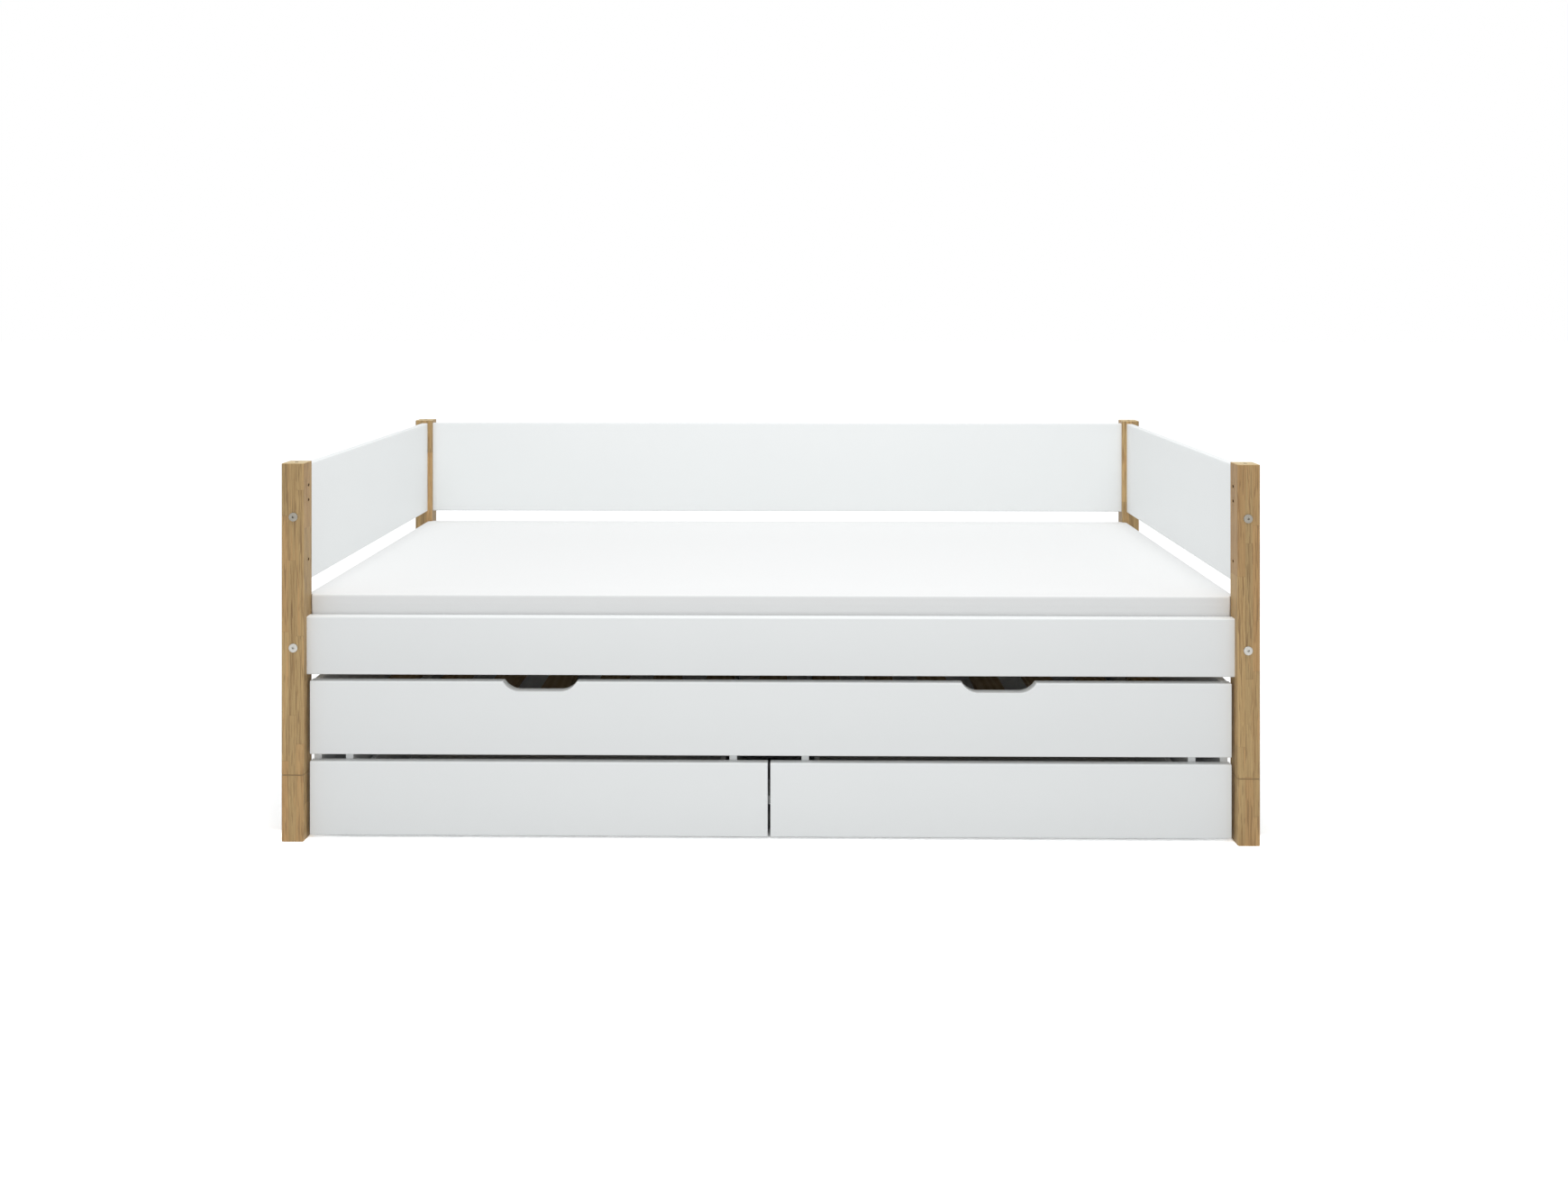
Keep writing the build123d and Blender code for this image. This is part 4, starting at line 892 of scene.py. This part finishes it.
knit = woven("mattress_fabric", mattress_white, mattress_shade, thread=0.0016, rough=0.9,
             depth=0.00012, across=(0, 1))
# The border's knit is closer, and its colours carry painted shade
border_knit_and_shade = woven("mattress_border_and_shade", shaded_border_white, shaded_border_dark, thread=0.0011, rough=0.9,
                    depth=0.0001, across=(0, 2))
for fabric in (knit, border_knit_and_shade):
    cover.data.materials.append(fabric)
places = wrap(cover, mattress_low[2] + seam_height, half)
seam = add_mesh("mattress_seam", places, [(i, (i + 1) % seam_points) for i in range(seam_points)])
seam_knit = woven("seam_thread", mattress_white, mattress_shade, thread=0.0008, rough=0.8,
                  depth=0.0001, across=(0, 2))
grow(seam, seam_tree(), seam_sizes, seam_knit)
smooth = cover.modifiers.new("smooth", "SUBSURF")
smooth.levels = 1
smooth.render_levels = 1
for piece in (cover, seam):
    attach(piece, "mattress")
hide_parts("mattress")


# Castor wheels, and the rollers and rails of the drawer runners. The wheels are moulded in dark grey
# plastic, the rollers are turned from white nylon, and the runners' steel is powder coated white.
moulding_depth = 0.00006
moulding_play = 0.05
wheel_grey = (0.06, 0.06, 0.065, 1.0)
wheel_shade = (0.035, 0.035, 0.04, 1.0)
nylon_white = (0.82, 0.82, 0.79, 1.0)
nylon_shade = (0.76, 0.76, 0.73, 1.0)
powder_white = (0.83, 0.83, 0.82, 1.0)
powder_shade = (0.79, 0.79, 0.78, 1.0)


def moulded(name, colour, dark, rough, grit):
    """Plastic or powder coat with a fine grain."""
    material, tree = start_material(name)
    place = own_place(tree)
    cloud = noise(tree, place, scale=90.0, detail=2.0)
    grain = noise(tree, place, scale=grit, detail=1.0)
    coat(tree, blend_colours(tree, cloud, dark, colour),
         between(tree, cloud, rough - moulding_play, rough + moulding_play),
         relief(tree, grain, strength=0.3, depth=moulding_depth))
    return material


dress(moulded("wheel_plastic", wheel_grey, wheel_shade, rough=0.5, grit=1500.0), "front_wheels",
      "back_wheels")
dress(moulded("roller_nylon", nylon_white, nylon_shade, rough=0.42, grit=1800.0),
      "left_cabinet_rollers", "right_cabinet_rollers", "left_drawer_rollers",
      "right_drawer_rollers")
dress(moulded("runner_steel", powder_white, powder_shade, rough=0.36, grit=2400.0),
      "cabinet_runners", "left_drawer_runners", "right_drawer_runners")


# Castor screws. Four zinc-plated screws with flat cross-recess heads hold each castor's plate up to
# its block; their heads face the floor.
castor_xs = (-0.9455, 0.0, 0.9455)
castor_y = 0.4
screw_off_x = 0.017
screw_off_y = 0.027
plate_under = 0.063
castor_screw = {"Head Radius": 0.0038, "Head Height": 0.002, "Shank Radius": 0.0019,
                "Length": 0.015, "Recess": 0.0044}
places = [(x + i * screw_off_x, y * castor_y + j * screw_off_y, plate_under) for x in castor_xs
          for y in (-1, 1) for i in (-1, 1) for j in (-1, 1)]
castor_screws = set_pieces("cross_recess_castor_screws", places, [(0, 0, -1)] * len(places),
                           screw_tree("pan_screw", countersunk=False), castor_screw)
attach(castor_screws, "pull_out_bed")
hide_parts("castor_screws")


# Runner screws. The drawers' channels and members are rolled from 1.2 mm sheet, each held by three
# small countersunk screws that leave the rollers room to pass.
inner_wall = 0.086
outer_wall = 0.903
runner_sheet = 0.0012
member_web = 0.0113
channel_screw_height = 0.05175
channel_screw_ys = (-0.400, -0.095, 0.210)
member_screw_height = 0.0671
member_screw_ys = (-0.405, -0.100, 0.205)
proud = 0.0002
small_screw = {"Head Radius": 0.0029, "Head Height": 0.0015, "Shank Radius": 0.0014,
               "Length": 0.0095, "Recess": 0.0032}
channel_places, channel_facings = [], []
for side, x in (("left", -1), ("right", 1)):
    member_places, member_facings = [], []
    for wall, way in ((x * inner_wall, x), (x * outer_wall, -x)):
        for y in channel_screw_ys:
            channel_places.append((wall + way * (runner_sheet + proud), y, channel_screw_height))
            channel_facings.append((way, 0, 0))
        for y in member_screw_ys:
            member_places.append((wall + way * (member_web - proud), y, member_screw_height))
            member_facings.append((-way, 0, 0))
    member_screws = set_pieces(f"{side}_member_screws", member_places, member_facings,
                               countersunk_screw, small_screw)
    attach(member_screws, f"{side}_drawer")
channel_screws = set_pieces("channel_screws", channel_places, channel_facings, countersunk_screw,
                            small_screw)
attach(channel_screws, "pull_out_bed")
